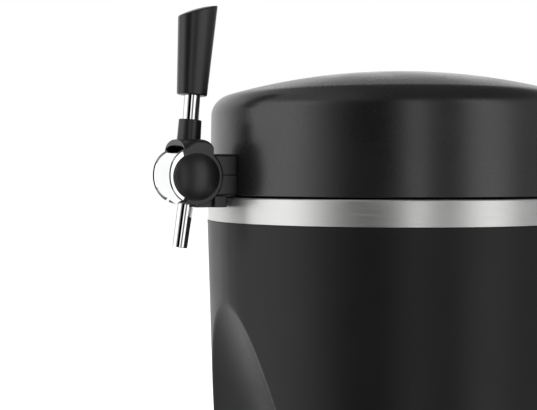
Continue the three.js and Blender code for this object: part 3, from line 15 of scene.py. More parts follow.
import bmesh
import bpy
import numpy as np
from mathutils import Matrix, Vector

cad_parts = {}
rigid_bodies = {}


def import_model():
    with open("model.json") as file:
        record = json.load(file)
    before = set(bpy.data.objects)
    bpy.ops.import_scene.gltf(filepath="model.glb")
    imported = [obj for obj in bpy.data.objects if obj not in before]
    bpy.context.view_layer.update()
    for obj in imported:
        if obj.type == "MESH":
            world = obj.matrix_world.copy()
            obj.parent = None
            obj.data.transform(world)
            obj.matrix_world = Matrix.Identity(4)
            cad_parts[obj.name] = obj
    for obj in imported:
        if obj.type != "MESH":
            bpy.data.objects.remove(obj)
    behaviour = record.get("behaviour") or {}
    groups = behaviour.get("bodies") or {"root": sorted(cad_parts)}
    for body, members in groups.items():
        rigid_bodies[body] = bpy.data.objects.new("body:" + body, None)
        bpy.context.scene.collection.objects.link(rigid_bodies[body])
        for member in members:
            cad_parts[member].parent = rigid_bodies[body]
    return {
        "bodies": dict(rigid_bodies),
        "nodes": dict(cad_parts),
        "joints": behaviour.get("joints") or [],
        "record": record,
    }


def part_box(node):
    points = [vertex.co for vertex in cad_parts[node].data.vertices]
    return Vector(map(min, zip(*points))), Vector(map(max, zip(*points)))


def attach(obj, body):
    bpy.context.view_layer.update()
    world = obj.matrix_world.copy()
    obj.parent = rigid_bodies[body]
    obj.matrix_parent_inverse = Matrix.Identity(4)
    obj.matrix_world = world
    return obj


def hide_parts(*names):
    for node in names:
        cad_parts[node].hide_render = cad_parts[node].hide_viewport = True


LOG = logging.getLogger("dispenser")

METRES = 0.001
ON_AXIS = 1e-9
MERGE_GAP = 1e-7
CAD_MERGE_GAP = 2e-6
FLAT_DEGREES = 1.0
STRAIGHT_DEGREES = 89.0
SHARP_DEGREES = 32.0
SIDE_SHARE = 0.48
LEAST_CORNER = 0.02
FINE_STEPS = 256
WIDE_STEPS = 192
MIDDLE_STEPS = 96
SMALL_STEPS = 48
POST_STEPS = 32
HOSE_STEPS = 32
PEG_STEPS = 24
SCREW_STEPS = 16
EDGE_STEPS = 4
LID_LOOK = "lid_black"

Point2 = tuple[float, float]
Point3 = tuple[float, float, float]
Corner = tuple[float, float, float]
Outline = Callable[[float], np.ndarray]
Socket = bpy.types.NodeSocket


def arc(centre: Point2, radius: float, start: float, end: float, steps: int) -> list[Point2]:
    """Points on an arc.

    Args:
        centre: Middle of the arc.
        radius: Its radius.
        start: First angle in degrees.
        end: Last angle in degrees.
        steps: Number of spans.

    Returns:
        The points from start to end.
    """
    angles = np.radians(np.linspace(start, end, steps + 1))
    return [(centre[0] + radius * math.cos(a), centre[1] + radius * math.sin(a)) for a in angles]


def filleted(corners: Sequence[Corner], closed: bool = True, steps: int = EDGE_STEPS) -> list[Point2]:
    """Rounds the corners of a profile.

    Args:
        corners: Points with the radius each is rounded by.
        closed: Whether the last point joins the first.
        steps: Spans of each rounding.

    Returns:
        The rounded profile.
    """
    profile: list[Point2] = []
    count = len(corners)
    for i, (u, v, radius) in enumerate(corners):
        if radius <= 0 or (not closed and i in (0, count - 1)):
            profile.append((u, v))
            continue
        here = np.array([u, v])
        before = np.array(corners[i - 1][:2]) - here
        after = np.array(corners[(i + 1) % count][:2]) - here
        long_before, long_after = np.linalg.norm(before), np.linalg.norm(after)
        before, after = before / long_before, after / long_after
        half = math.acos(float(np.clip(before @ after, -1, 1))) / 2
        if half > math.radians(STRAIGHT_DEGREES):
            profile.append((u, v))
            continue
        cut = min(radius / math.tan(half), SIDE_SHARE * long_before, SIDE_SHARE * long_after)
        size = cut * math.tan(half)
        middle = here + (before + after) / np.linalg.norm(before + after) * size / math.sin(half)
        first = here + before * cut - middle
        last = here + after * cut - middle
        start = math.atan2(first[1], first[0])
        sweep = (math.atan2(last[1], last[0]) - start + math.pi) % (2 * math.pi) - math.pi
        for step in range(steps + 1):
            angle = start + sweep * step / steps
            profile.append((float(middle[0] + size * math.cos(angle)), float(middle[1] + size * math.sin(angle))))
    return profile


def edge_rows(bottom: float, top: float, edge: float, steps: int = EDGE_STEPS) -> list[Point2]:
    """Rows of a block with rounded ends, as (inset, height)."""
    rows = [(edge * (1 - math.sin(a)), bottom + edge * (1 - math.cos(a)))
            for a in np.linspace(0, math.pi / 2, steps + 1)]
    rows += [(edge * (1 - math.cos(a)), top - edge * (1 - math.sin(a)))
             for a in np.linspace(0, math.pi / 2, steps + 1)]
    return rows


@dataclass
class Skin:
    """A surface in millimetres: its points and the faces between them."""

    points: np.ndarray
    faces: list[tuple[int, ...]]

    def moved(self, x: float = 0, y: float = 0, z: float = 0) -> Skin:
        """The same surface somewhere else."""
        return Skin(self.points + np.array([x, y, z]), self.faces)

    def turned(self, axis: str, degrees: float) -> Skin:
        """The same surface turned about an axis through the origin."""
        c, s = math.cos(math.radians(degrees)), math.sin(math.radians(degrees))
        matrix = {
            "x": [[1, 0, 0], [0, c, -s], [0, s, c]],
            "y": [[c, 0, s], [0, 1, 0], [-s, 0, c]],
            "z": [[c, -s, 0], [s, c, 0], [0, 0, 1]],
        }[axis]
        return Skin(self.points @ np.array(matrix).T, self.faces)

    def with_others(self, *others: Skin) -> Skin:
        """This surface and others as one list of points and faces."""
        points, faces = [self.points], list(self.faces)
        start = len(self.points)
        for other in others:
            points.append(other.points)
            faces += [tuple(i + start for i in face) for face in other.faces]
            start += len(other.points)
        return Skin(np.vstack(points), faces)


def loft(rings: Sequence[np.ndarray], closed: bool = False) -> Skin:
    """A skin over rings of as many points each.

    Args:
        rings: Rings of points, each an n by 3 array.
        closed: Whether the last ring joins the first; if not, flat caps close both ends.

    Returns:
        The skin.
    """
    count, levels = len(rings[0]), len(rings)
    faces: list[tuple[int, ...]] = []
    for level in range(levels if closed else levels - 1):
        a, b = level * count, (level + 1) % levels * count
        for i in range(count):
            j = (i + 1) % count
            faces.append((a + i, a + j, b + j, b + i))
    if not closed:
        faces.append(tuple(reversed(range(count))))
        faces.append(tuple(range((levels - 1) * count, levels * count)))
    return Skin(np.vstack(rings), faces)


def lathe(profile: Sequence[Point2], steps: int = WIDE_STEPS, closed: bool = True) -> Skin:
    """A profile of (radius, height) turned about the upright axis.

    Args:
        profile: The profile; a closed one joins on itself, an open one starts and ends on the axis.
        steps: Spans round the axis.
        closed: Whether the profile joins on itself.

    Returns:
        The closed surface.
    """
    points: list[tuple[float, float, float]] = []
    rings: list[list[int]] = []
    for radius, height in profile:
        start = len(points)
        if radius < ON_AXIS:
            points.append((0, 0, height))
            rings.append([start] * steps)
            continue
        for i in range(steps):
            angle = 2 * math.pi * i / steps
            points.append((radius * math.sin(angle), -radius * math.cos(angle), height))
        rings.append(list(range(start, start + steps)))
    pairs = list(zip(rings, rings[1:]))
    if closed:
        pairs.append((rings[-1], rings[0]))
    faces: list[tuple[int, ...]] = []
    for low, high in pairs:
        if low[0] == low[1] and high[0] == high[1]:
            continue
        for i in range(steps):
            j = (i + 1) % steps
            face = [low[i], low[j], high[j], high[i]]
            faces.append(tuple(dict.fromkeys(face)))
    return Skin(np.array(points, float), faces)


def spun(corners: Sequence[Corner], steps: int = WIDE_STEPS, edge_steps: int = EDGE_STEPS) -> Skin:
    """A solid turned from half of its section, from the axis out and back to it, with rounded corners."""
    return lathe(filleted(corners, closed=False, steps=edge_steps), steps, closed=False)


def prism(outline: Outline, rows: Sequence[Point2], closed: bool = False) -> Skin:
    """An outline drawn in by each row's inset at that row's height."""
    rings = []
    for inset, height in rows:
        flat = outline(inset)
        rings.append(np.column_stack([flat, np.full(len(flat), height)]))
    return loft(rings, closed)


def rounded_rectangle(half_width: float, half_depth: float, corner: float, steps: int = 6) -> Outline:
    """The outline of a rectangle with round corners, as a rule of its inset."""

    def outline(inset: float) -> np.ndarray:
        """The rectangle drawn in by an inset."""
        size = max(corner - inset, LEAST_CORNER)
        across, along = half_width - inset - size, half_depth - inset - size
        places = [(across, along, 0), (-across, along, 90), (-across, -along, 180), (across, -along, 270)]
        points: list[Point2] = []
        for x, y, angle in places:
            points += arc((x, y), size, angle, angle + 90, steps)
        return np.array(points)

    return outline


def squarish_oval(half_width: float, half_depth: float, squareness: float, steps: int) -> np.ndarray:
    """Points on an oval that is squarer than an ellipse when squareness is above 2."""
    angles = np.linspace(0, 2 * math.pi, steps, endpoint=False)
    across = np.sign(np.cos(angles)) * np.abs(np.cos(angles)) ** (2 / squareness)
    along = np.sign(np.sin(angles)) * np.abs(np.sin(angles)) ** (2 / squareness)
    return np.column_stack([half_width * across, half_depth * along])


def bar(radius: float, start: float, end: float, edge: float = 0.0, steps: int = SMALL_STEPS) -> Skin:
    """An upright round bar with rounded ends."""
    return spun([(0, start, 0), (radius, start, edge), (radius, end, edge), (0, end, 0)], steps)


def rounded_block(half_width: float, half_depth: float, bottom: float, top: float, corner: float,
                  edge: float) -> Skin:
    """An upright block with round corners and edges."""
    return prism(rounded_rectangle(half_width, half_depth, corner), edge_rows(bottom, top, edge))


def smooth_lesser(a: np.ndarray, b: np.ndarray, width: float) -> np.ndarray:
    """The lesser of two values, with a rounded change from one to the other."""
    blend = np.clip(0.5 + 0.5 * (b - a) / width, 0, 1)
    return b * (1 - blend) + a * blend - width * blend * (1 - blend)


def placed(name: str, data: bpy.types.ID) -> bpy.types.Object:
    """A new object in the scene for a mesh, a camera or a lamp's data."""
    obj = bpy.data.objects.new(name, data)
    bpy.context.scene.collection.objects.link(obj)
    return obj


def faced(obj: bpy.types.Object, forward: Vector) -> None:
    """Turns a camera or a lamp to look along a direction."""
    obj.rotation_mode = "QUATERNION"
    obj.rotation_quaternion = forward.to_track_quat("-Z", "Y")


def cleaned(mesh: bpy.types.Mesh, gap: float, flat: bool = False) -> bpy.types.Mesh:
    """Merges a mesh's points and turns its faces outward.

    Args:
        mesh: The mesh to change.
        gap: The distance in metres up to which points are one.
        flat: Whether faces that lie in one plane are merged too.

    Returns:
        The same mesh.
    """
    made = bmesh.new()
    made.from_mesh(mesh)
    bmesh.ops.remove_doubles(made, verts=made.verts, dist=gap)
    if flat:
        bmesh.ops.dissolve_limit(made, angle_limit=math.radians(FLAT_DEGREES), verts=made.verts, edges=made.edges)
    bmesh.ops.recalc_face_normals(made, faces=made.faces)
    made.to_mesh(mesh)
    made.free()
    return mesh


class Slot(Enum):
    """The record's material slots."""

    SATIN_BLACK = "satin_black"
    GLOSS_BLACK = "gloss_black"
    BRUSHED_STEEL = "brushed_steel"
    CHROME = "chrome"
    ALUMINIUM = "aluminium"
    STEEL = "steel"
    RUBBER = "rubber"
    FOAM = "foam"
    CERAMIC = "ceramic"
    GREY_PLASTIC = "grey_plastic"
    BOARD = "board"
    CLEAR_TUBE = "clear_tube"


class Lay(Enum):
    """The way a surface's fine marks run, as the share of their density along x, y and z."""

    EVEN = (1.0, 1.0, 1.0)
    LEVEL = (0.012, 0.012, 1.0)
    UPRIGHT = (1.0, 1.0, 0.02)


class Bench:
    """A node tree under construction, with short ways to add and join its nodes."""

    def __init__(self, tree: bpy.types.NodeTree) -> None:
        """Starts with a material's, a world's or a modifier's tree."""
        self.tree = tree

    def add(self, kind: str, **values: object) -> bpy.types.Node:
        """Adds a node.

        Args:
            kind: Blender's name for the node's type.
            **values: Settings of the node, or values or sockets for its inputs, with spaces in their names
                written as underscores.

        Returns:
            The node.
        """
        node = self.tree.nodes.new(kind)
        for name, value in values.items():
            if hasattr(node, name):
                setattr(node, name, value)
            else:
                self.join(value, node.inputs[name.replace("_", " ")])
        return node

    def join(self, source: object, target: Socket) -> None:
        """Links an output to an input, or sets the input's own value."""
        if isinstance(source, Socket):
            self.tree.links.new(source, target)
        else:
            target.default_value = source

    def noise(self, vector: Socket, size: float, detail: float = 3.0) -> Socket:
        """Noise whose features are about a size in millimetres."""
        noise = self.add("ShaderNodeTexNoise", Scale=1 / (size * METRES), Detail=detail, Vector=vector)
        return noise.outputs["Fac"]

    def mapped(self, value: Socket, low: float, high: float, start: float = 0.3, end: float = 0.7) -> Socket:
        """A value mapped from one range to another, and held there."""
        node = self.add("ShaderNodeMapRange", Value=value, From_Min=start, From_Max=end, To_Min=low, To_Max=high)
        return node.outputs["Result"]

    def blend(self, share: Socket | float, a: object, b: object, kind: str = "FLOAT") -> Socket:
        """A mix of two values or sockets.

        Args:
            share: How much of the second.
            a: The first value or socket.
            b: The second value or socket.
            kind: FLOAT, or RGBA for colours.

        Returns:
            The mixed socket.
        """
        return self.add("ShaderNodeMix", data_type=kind, Factor=share, A=a, B=b).outputs["Result"]

    def reckoned(self, a: Socket, b: Socket | float = 0.0, operation: str = "MULTIPLY") -> Socket:
        """The product of two values, or what another of Blender's operations makes of them."""
        node = self.add("ShaderNodeMath", operation=operation)
        self.join(a, node.inputs[0])
        self.join(b, node.inputs[1])
        return node.outputs["Value"]


@dataclass(frozen=True)
class Finish:
    """A moulded or cast surface: fine grain, soft smudges and a slight change of tint."""

    slot: Slot
    colour: tuple[float, float, float]
    roughness: float
    label: str = ""
    metallic: float = 0.0
    roughness_spread: float = 0.05
    grain_size: float = 0.7
    grain_depth: float = 0.01
    coarse_times: float = 3.1
    coarse_share: float = 0.35
    smudge_size: float = 38.0
    relief_share: float = 0.4
    tint_spread: float = 0.1
    coat: float = 0.0
    coat_roughness: float = 0.12
    specular: float = 0.5
    transmission: float = 0.0

    @property
    def name(self) -> str:
        """The finish's own label, or else its slot's."""
        return self.label or self.slot.value

    def relief(self, bench: Bench, place: Socket) -> Socket:
        """The surface's fine height: two sizes of grain."""
        fine = bench.noise(place, self.grain_size, 2)
        coarse = bench.noise(place, self.grain_size * self.coarse_times, 2)
        return bench.blend(self.coarse_share, fine, coarse)

    def tones(self, bench: Bench, place: Socket, relief: Socket) -> Socket:
        """What the roughness and the tint follow: smudges with some of the relief."""
        smudges = bench.noise(place, self.smudge_size, 6)
        return bench.blend(self.relief_share, smudges, relief)

    def build(self) -> bpy.types.Material:
        """Makes the node material for this finish."""
        material = bpy.data.materials.new(self.name)
        material.use_nodes = True
        bench = Bench(material.node_tree)
        shader = material.node_tree.nodes["Principled BSDF"]
        for name, value in (("Metallic", self.metallic), ("Coat Weight", self.coat),
                            ("Coat Roughness", self.coat_roughness), ("Specular IOR Level", self.specular),
                            ("Transmission Weight", self.transmission)):
            shader.inputs[name].default_value = value
        place = bench.add("ShaderNodeTexCoord").outputs["Object"]
        relief = self.relief(bench, place)
        tones = self.tones(bench, place, relief)
        rough = bench.mapped(tones, max(self.roughness - self.roughness_spread, 0.0),
                             min(self.roughness + self.roughness_spread, 1.0))
        bench.join(rough, shader.inputs["Roughness"])
        dark = (*[c * (1 - self.tint_spread) for c in self.colour], 1)
        light = (*[min(c * (1 + self.tint_spread), 1) for c in self.colour], 1)
        tint = bench.blend(bench.mapped(tones, 0, 1), dark, light, "RGBA")
        bench.join(tint, shader.inputs["Base Color"])
        bump = bench.add("ShaderNodeBump", Strength=1.0, Distance=self.grain_depth * METRES, Height=relief)
        bench.join(bump.outputs["Normal"], shader.inputs["Normal"])
        return material


@dataclass(frozen=True)
class DrawnFinish(Finish):
    """A brushed or drawn metal, its streaks all running one way."""

    lay: Lay = Lay.LEVEL
    coarse_times: float = 4.3
    coarse_share: float = 0.4
    relief_share: float = 0.72

    def relief(self, bench: Bench, place: Socket) -> Socket:
        """Streaks of two widths."""
        streaks = bench.add("ShaderNodeMapping", Scale=self.lay.value, Vector=place).outputs["Vector"]
        fine = bench.noise(streaks, self.grain_size, 4)
        coarse = bench.noise(streaks, self.grain_size * self.coarse_times, 2)
        return bench.blend(self.coarse_share, fine, coarse)

    def tones(self, bench: Bench, place: Socket, relief: Socket) -> Socket:
        """Mostly the streaks, with faint smudges."""
        return bench.blend(self.relief_share, bench.noise(place, self.smudge_size, 5), relief)


@dataclass(frozen=True)
class MirrorFinish(Finish):
    """A plated mirror, with faint wiping marks."""

    wipe_size: float = 9.0
    wipe_lay: Point3 = (1.0, 0.4, 0.25)
    relief_share: float = 0.25

    def tones(self, bench: Bench, place: Socket, relief: Socket) -> Socket:
        """Wiping marks: smudges drawn out along one way."""
        wiped = bench.add("ShaderNodeMapping", Scale=self.wipe_lay, Vector=place).outputs["Vector"]
        marks = bench.noise(wiped, self.wipe_size, 6)
        return bench.blend(self.relief_share, marks, relief)


@dataclass(frozen=True)
class CellFinish(Finish):
    """Foam, its cut cells showing."""

    coarse_times: float = 5.0
    coarse_share: float = 0.25

    def relief(self, bench: Bench, place: Socket) -> Socket:
        """Round cells with thin walls, of slightly changing depth."""
        cells = bench.add("ShaderNodeTexVoronoi", Scale=1 / (self.grain_size * METRES), Vector=place)
        coarse = bench.noise(place, self.grain_size * self.coarse_times, 3)
        return bench.blend(self.coarse_share, cells.outputs["Distance"], coarse)


@dataclass(frozen=True)
class BoardFinish(Finish):
    """A circuit board: copper tracks under green varnish."""

    track_size: float = 4.2
    track_start: float = 0.28
    track_end: float = 0.34
    track_low: float = 0.3
    track_high: float = 0.7

    def tones(self, bench: Bench, place: Socket, relief: Socket) -> Socket:
        """Square tracks under the varnish."""
        tracks = bench.add("ShaderNodeTexVoronoi", distance="MANHATTAN",
                           Scale=1 / (self.track_size * METRES), Vector=place)
        return bench.mapped(tracks.outputs["Distance"], self.track_low, self.track_high, self.track_start,
                            self.track_end)


FINISHES: tuple[Finish, ...] = (
    Finish(Slot.SATIN_BLACK, (0.0068, 0.0069, 0.0072), 0.38, grain_size=0.55, grain_depth=0.006, specular=0.27),
    Finish(Slot.SATIN_BLACK, (0.0066, 0.0067, 0.007), 0.28, label=LID_LOOK, grain_size=0.55,
           grain_depth=0.0018, specular=0.75),
    Finish(Slot.GLOSS_BLACK, (0.0068, 0.0069, 0.0072), 0.34, grain_size=0.7, grain_depth=0.004,
           roughness_spread=0.04, specular=0.58),
    DrawnFinish(Slot.BRUSHED_STEEL, (0.64, 0.64, 0.63), 0.33, metallic=0.9, roughness_spread=0.09,
                grain_size=0.32, grain_depth=0.003, tint_spread=0.05),
    MirrorFinish(Slot.CHROME, (0.9, 0.905, 0.91), 0.035, metallic=1.0, roughness_spread=0.02,
                 grain_size=2.0, grain_depth=0.0003, tint_spread=0.01),
    DrawnFinish(Slot.ALUMINIUM, (0.6, 0.61, 0.62), 0.40, metallic=1.0, roughness_spread=0.09,
                grain_size=0.5, grain_depth=0.004, lay=Lay.UPRIGHT),
    DrawnFinish(Slot.STEEL, (0.45, 0.46, 0.47), 0.34, metallic=1.0, roughness_spread=0.08,
                grain_size=0.6, grain_depth=0.003, lay=Lay.EVEN),
    Finish(Slot.RUBBER, (0.012, 0.012, 0.012), 0.82, roughness_spread=0.08, grain_size=0.9, grain_depth=0.02),
    CellFinish(Slot.FOAM, (0.69, 0.63, 0.45), 0.94, roughness_spread=0.04, grain_size=1.1, grain_depth=0.3),
    Finish(Slot.CERAMIC, (0.8, 0.8, 0.77), 0.6, grain_size=0.6, grain_depth=0.006, tint_spread=0.03),
    Finish(Slot.GREY_PLASTIC, (0.155, 0.165, 0.175), 0.48, grain_size=0.6, grain_depth=0.01, tint_spread=0.05),
    BoardFinish(Slot.BOARD, (0.012, 0.1, 0.035), 0.4, grain_size=1.2, grain_depth=0.01, tint_spread=0.35),
    Finish(Slot.CLEAR_TUBE, (0.78, 0.81, 0.82), 0.2, grain_size=1.0, grain_depth=0.004, transmission=0.7),
)


class Growth:
    """Geometry Nodes groups that repeat or sweep a piece."""

    def __init__(self) -> None:
        """Makes the groups."""
        self.line, self.places, self.hose = self.line_group(), self.places_group(), self.hose_group()

    def start(self, name: str, **sockets: str) -> tuple[Bench, dict[str, Socket]]:
        """Starts a group that takes a mesh and gives one back.

        Args:
            name: The group's name.
            **sockets: The kind of each further input.

        Returns:
            The group's bench and its inputs by name.
        """
        tree = bpy.data.node_groups.new(name, "GeometryNodeTree")
        for label, kind in {"Geometry": "Geometry", **sockets, "Finish": "Material"}.items():
            tree.interface.new_socket(label, in_out="INPUT", socket_type=f"NodeSocket{kind}")
        tree.interface.new_socket("Geometry", in_out="OUTPUT", socket_type="NodeSocketGeometry")
        bench = Bench(tree)
        given = bench.add("NodeGroupInput").outputs
        return bench, {socket.name: socket for socket in given}

    def finished(self, bench: Bench, given: dict[str, Socket], shape: Socket) -> bpy.types.NodeTree:
        """Realizes the instances, sets the finish and ends the group."""
        real = bench.add("GeometryNodeRealizeInstances", Geometry=shape).outputs["Geometry"]
        dressed = bench.add("GeometryNodeSetMaterial", Geometry=real, Material=given["Finish"])
        bench.add("NodeGroupOutput", Geometry=dressed.outputs["Geometry"])
        return bench.tree

    def line_group(self) -> bpy.types.NodeTree:
        """Repeats a piece along a line, or round an axis along Y, beside the object's own mesh."""
        bench, given = self.start("repeat along a line", Piece="Object", Count="Int", Start="Vector",
                                  Step="Vector", Turn="Float")
        line = bench.add("GeometryNodeMeshLine", mode="OFFSET", Count=given["Count"],
                         Start_Location=given["Start"], Offset=given["Step"])
        piece = bench.add("GeometryNodeObjectInfo", Object=given["Piece"])
        angle = bench.reckoned(bench.add("GeometryNodeInputIndex").outputs["Index"], given["Turn"])
        spin = bench.add("ShaderNodeCombineXYZ", Y=angle)
        copies = bench.add("GeometryNodeInstanceOnPoints", Points=line.outputs["Mesh"],
                           Instance=piece.outputs["Geometry"], Rotation=spin.outputs["Vector"])
        both = bench.add("GeometryNodeJoinGeometry")
        bench.join(given["Geometry"], both.inputs["Geometry"])
        bench.join(copies.outputs["Instances"], both.inputs["Geometry"])
        return self.finished(bench, given, both.outputs["Geometry"])

    def places_group(self) -> bpy.types.NodeTree:
        """Sets a piece on each point of the object's own mesh, stretched as the point says."""
        bench, given = self.start("set at places", Piece="Object")
        piece = bench.add("GeometryNodeObjectInfo", Object=given["Piece"])
        stretch = bench.add("GeometryNodeInputNamedAttribute", data_type="FLOAT_VECTOR", Name="stretch")
        copies = bench.add("GeometryNodeInstanceOnPoints", Points=given["Geometry"],
                           Instance=piece.outputs["Geometry"], Scale=stretch.outputs["Attribute"])
        return self.finished(bench, given, copies.outputs["Instances"])

    def hose_group(self) -> bpy.types.NodeTree:
        """Sweeps a round tube along the object's own path."""
        bench, given = self.start("tube along a path", Radius="Float")
        path = bench.add("GeometryNodeMeshToCurve", Mesh=given["Geometry"])
        circle = bench.add("GeometryNodeCurvePrimitiveCircle", Resolution=HOSE_STEPS, Radius=given["Radius"])
        tube = bench.add("GeometryNodeCurveToMesh", Fill_Caps=True, Curve=path.outputs["Curve"],
                         Profile_Curve=circle.outputs["Curve"])
        return self.finished(bench, given, tube.outputs["Mesh"])


@dataclass
class Workshop:
    """Makes the frame's pieces: holds the frame, where the cabinet's axis stands and the finishes."""

    frame: dict
    axis: Vector
    growth: Growth = field(default_factory=Growth)
    materials: dict[str, bpy.types.Material] = field(default_factory=dict)

    @classmethod
    def opened(cls) -> Workshop:
        """Loads the frame, finds the cabinet's axis from the steel band and makes the finishes."""
        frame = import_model()
        low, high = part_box("steel_band")
        axis = Vector(((low.x + high.x) / 2, (low.y + high.y) / 2, 0))
        shop = cls(frame, axis)
        for finish in FINISHES:
            shop.materials[finish.name] = finish.build()
        return shop

    def place(self, x: float, y: float, z: float) -> Vector:
        """A place in millimetres about the cabinet's axis, in the frame's metres."""
        return Vector((x, y, z)) * METRES + self.axis

    def mesh_object(self, name: str, skin: Skin, on_axis: bool = True) -> bpy.types.Object:
        """Turns a skin into an object at the origin with its faces outward.

        Args:
            name: The object's name.
            skin: The skin in millimetres.
            on_axis: Whether it is made about the cabinet's axis, or else about its own origin.

        Returns:
            The object, in the frame's metres.
        """
        mesh = bpy.data.meshes.new(name)
        places = skin.points * METRES
        if on_axis:
            places = places + np.array(self.axis)
        mesh.from_pydata(places.tolist(), [], skin.faces)
        return placed(name, cleaned(mesh, MERGE_GAP))

    def settled(self, obj: bpy.types.Object) -> bpy.types.Object:
        """Bakes an object's modifiers into its mesh and takes them off."""
        graph = bpy.context.evaluated_depsgraph_get()
        mesh = bpy.data.meshes.new_from_object(obj.evaluated_get(graph))
        obj.modifiers.clear()
        obj.data = mesh
        return obj

    def cut(self, obj: bpy.types.Object, *tools: Skin, operation: str = "DIFFERENCE") -> bpy.types.Object:
        """Cuts tools out of an object, or joins them to it.

        Args:
            obj: The object to change.
            *tools: Closed skins. The bodies within one skin don't touch each other.
            operation: Blender's name for the boolean.

        Returns:
            The same object with its new mesh.
        """
        for number, tool in enumerate(tools):
            other = self.mesh_object(f"tool_{number}", tool)
            self.cut_with(obj, other, operation)
        return obj

    def cut_with(self, obj: bpy.types.Object, tool: bpy.types.Object, operation: str = "DIFFERENCE") -> None:
        """Cuts one object with another, which is then removed."""
        modifier = obj.modifiers.new("cut", "BOOLEAN")
        modifier.operation = operation
        modifier.solver = "EXACT"
        modifier.object = tool
        self.settled(obj)
        bpy.data.objects.remove(tool)

    def softened(self, obj: bpy.types.Object, width: float, angle: float = 35.0,
                 segments: int = 2) -> bpy.types.Object:
        """Rounds an object's sharp edges."""
        modifier = obj.modifiers.new("edges", "BEVEL")
        modifier.width = width * METRES
        modifier.segments = segments
        modifier.limit_method = "ANGLE"
        modifier.angle_limit = math.radians(angle)
        modifier.use_clamp_overlap = True
        return self.settled(obj)

    def evened(self, obj: bpy.types.Object) -> bpy.types.Object:
        """Lets an object's large faces set its shading, so that flat faces stay flat up to a rounded edge."""
        modifier = obj.modifiers.new("shading", "WEIGHTED_NORMAL")
        modifier.keep_sharp = True
        return self.settled(obj)

    def grown(self, obj: bpy.types.Object, group: bpy.types.NodeTree, **values: object) -> bpy.types.Object:
        """Runs a Geometry Nodes group on an object and bakes the result.

        Args:
            obj: The object whose mesh the group starts from.
            group: The group.
            **values: The group's inputs by name.

        Returns:
            The same object with its new mesh.
        """
        modifier = obj.modifiers.new("growth", "NODES")
        modifier.node_group = group
        for item in group.interface.items_tree:
            if item.item_type == "SOCKET" and item.in_out == "INPUT" and item.name in values:
                modifier[item.identifier] = values[item.name]
        return self.settled(obj)

    def repeated(self, obj: bpy.types.Object, piece: Skin, count: int, start: Vector,
                 step: Point3 = (0, 0, 0), turn: float = 0.0, slot: Slot = Slot.STEEL) -> bpy.types.Object:
        """Adds copies of a piece to an object, along a line or round an axis along Y.

        Args:
            obj: The object to add to.
            piece: The piece, about its own origin.
            count: Number of copies.
            start: Place of the first, in metres.
            step: From one to the next, in millimetres.
            turn: Degrees from one to the next.
            slot: The finish.

        Returns:
            The same object.
        """
        template = self.mesh_object("template", piece, on_axis=False)
        self.grown(obj, self.growth.line, Piece=template, Count=count, Start=start,
                   Step=Vector(step) * METRES, Turn=math.radians(turn), Finish=self.materials[slot.value])
        bpy.data.objects.remove(template)
        return obj

    def set_out(self, name: str, piece: Skin, places: Sequence[Point3], slot: Slot,
                stretches: Sequence[Point3] | None = None) -> bpy.types.Object:
        """An object of copies of a piece, one at each place.

        Args:
            name: The object's name.
            piece: The piece, about its own origin.
            places: Where the copies stand, in millimetres.
            slot: The finish.
            stretches: How far each copy is stretched along x, y and z.

        Returns:
            The object.
        """
        template = self.mesh_object("template", piece, on_axis=False)
        mesh = bpy.data.meshes.new(name)
        mesh.from_pydata([self.place(*place) for place in places], [], [])
        stretch = mesh.attributes.new("stretch", "FLOAT_VECTOR", "POINT")
        for i, value in enumerate(stretches or [(1, 1, 1)] * len(places)):
            stretch.data[i].vector = value
        obj = placed(name, mesh)
        self.grown(obj, self.growth.places, Piece=template, Finish=self.materials[slot.value])
        bpy.data.objects.remove(template)
        return obj

    def refined(self, node: str, edge: float) -> bpy.types.Object:
        """A merged copy of a CAD node with rounded edges."""
        mesh = cleaned(self.frame["nodes"][node].data.copy(), CAD_MERGE_GAP, flat=True)
        return self.softened(placed(f"{node}_made", mesh), edge)


@dataclass
class Made:
    """A piece that has its shape and waits for its finish."""

    obj: bpy.types.Object
    slot: Slot
    body: str
    nodes: tuple[str, ...]
    sharp: float
    look: str


@dataclass
class Assembly:
    """A group of pieces that are built and dressed together."""

    shop: Workshop
    made: list[Made] = field(default_factory=list)

    def build(self) -> None:
        """Makes the pieces' shapes. Each assembly says how."""
        raise NotImplementedError

    def keep(self, obj: bpy.types.Object, slot: Slot, body: str, *nodes: str, sharp: float = SHARP_DEGREES,
             look: str = "") -> None:
        """Notes a shaped piece for dressing.

        Args:
            obj: The object.
            slot: The record's slot of its finish.
            body: The body it rides.
            *nodes: The CAD nodes it stands for.
            sharp: The angle in degrees above which an edge is sharp.
            look: The label of a finish other than the slot's own.
        """
        self.made.append(Made(obj, slot, body, nodes, sharp, look or slot.value))

    def shape(self, name: str, skin: Skin, slot: Slot, body: str, *nodes: str, sharp: float = SHARP_DEGREES) -> None:
        """Makes a piece straight from a skin."""
        self.keep(self.shop.mesh_object(name, skin), slot, body, *nodes, sharp=sharp)

    def refine(self, node: str, slot: Slot, body: str, edge: float) -> None:
        """Makes a piece from its CAD node, merged and with rounded edges."""
        self.keep(self.shop.refined(node, edge), slot, body, node)

    def dress(self) -> None:
        """Gives each piece its finish, shading, body and nodes."""
        for made in self.made:
            mesh = made.obj.data
            mesh.materials.clear()
            mesh.materials.append(self.shop.materials[made.look])
            mesh.polygons.foreach_set("material_index", [0] * len(mesh.polygons))
            mesh.shade_smooth()
            mesh.set_sharp_from_angle(angle=math.radians(made.sharp))
            self.shop.evened(made.obj)
            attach(made.obj, made.body)
            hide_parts(*made.nodes)
            LOG.info("%s: %d faces", made.obj.name, len(mesh.polygons))


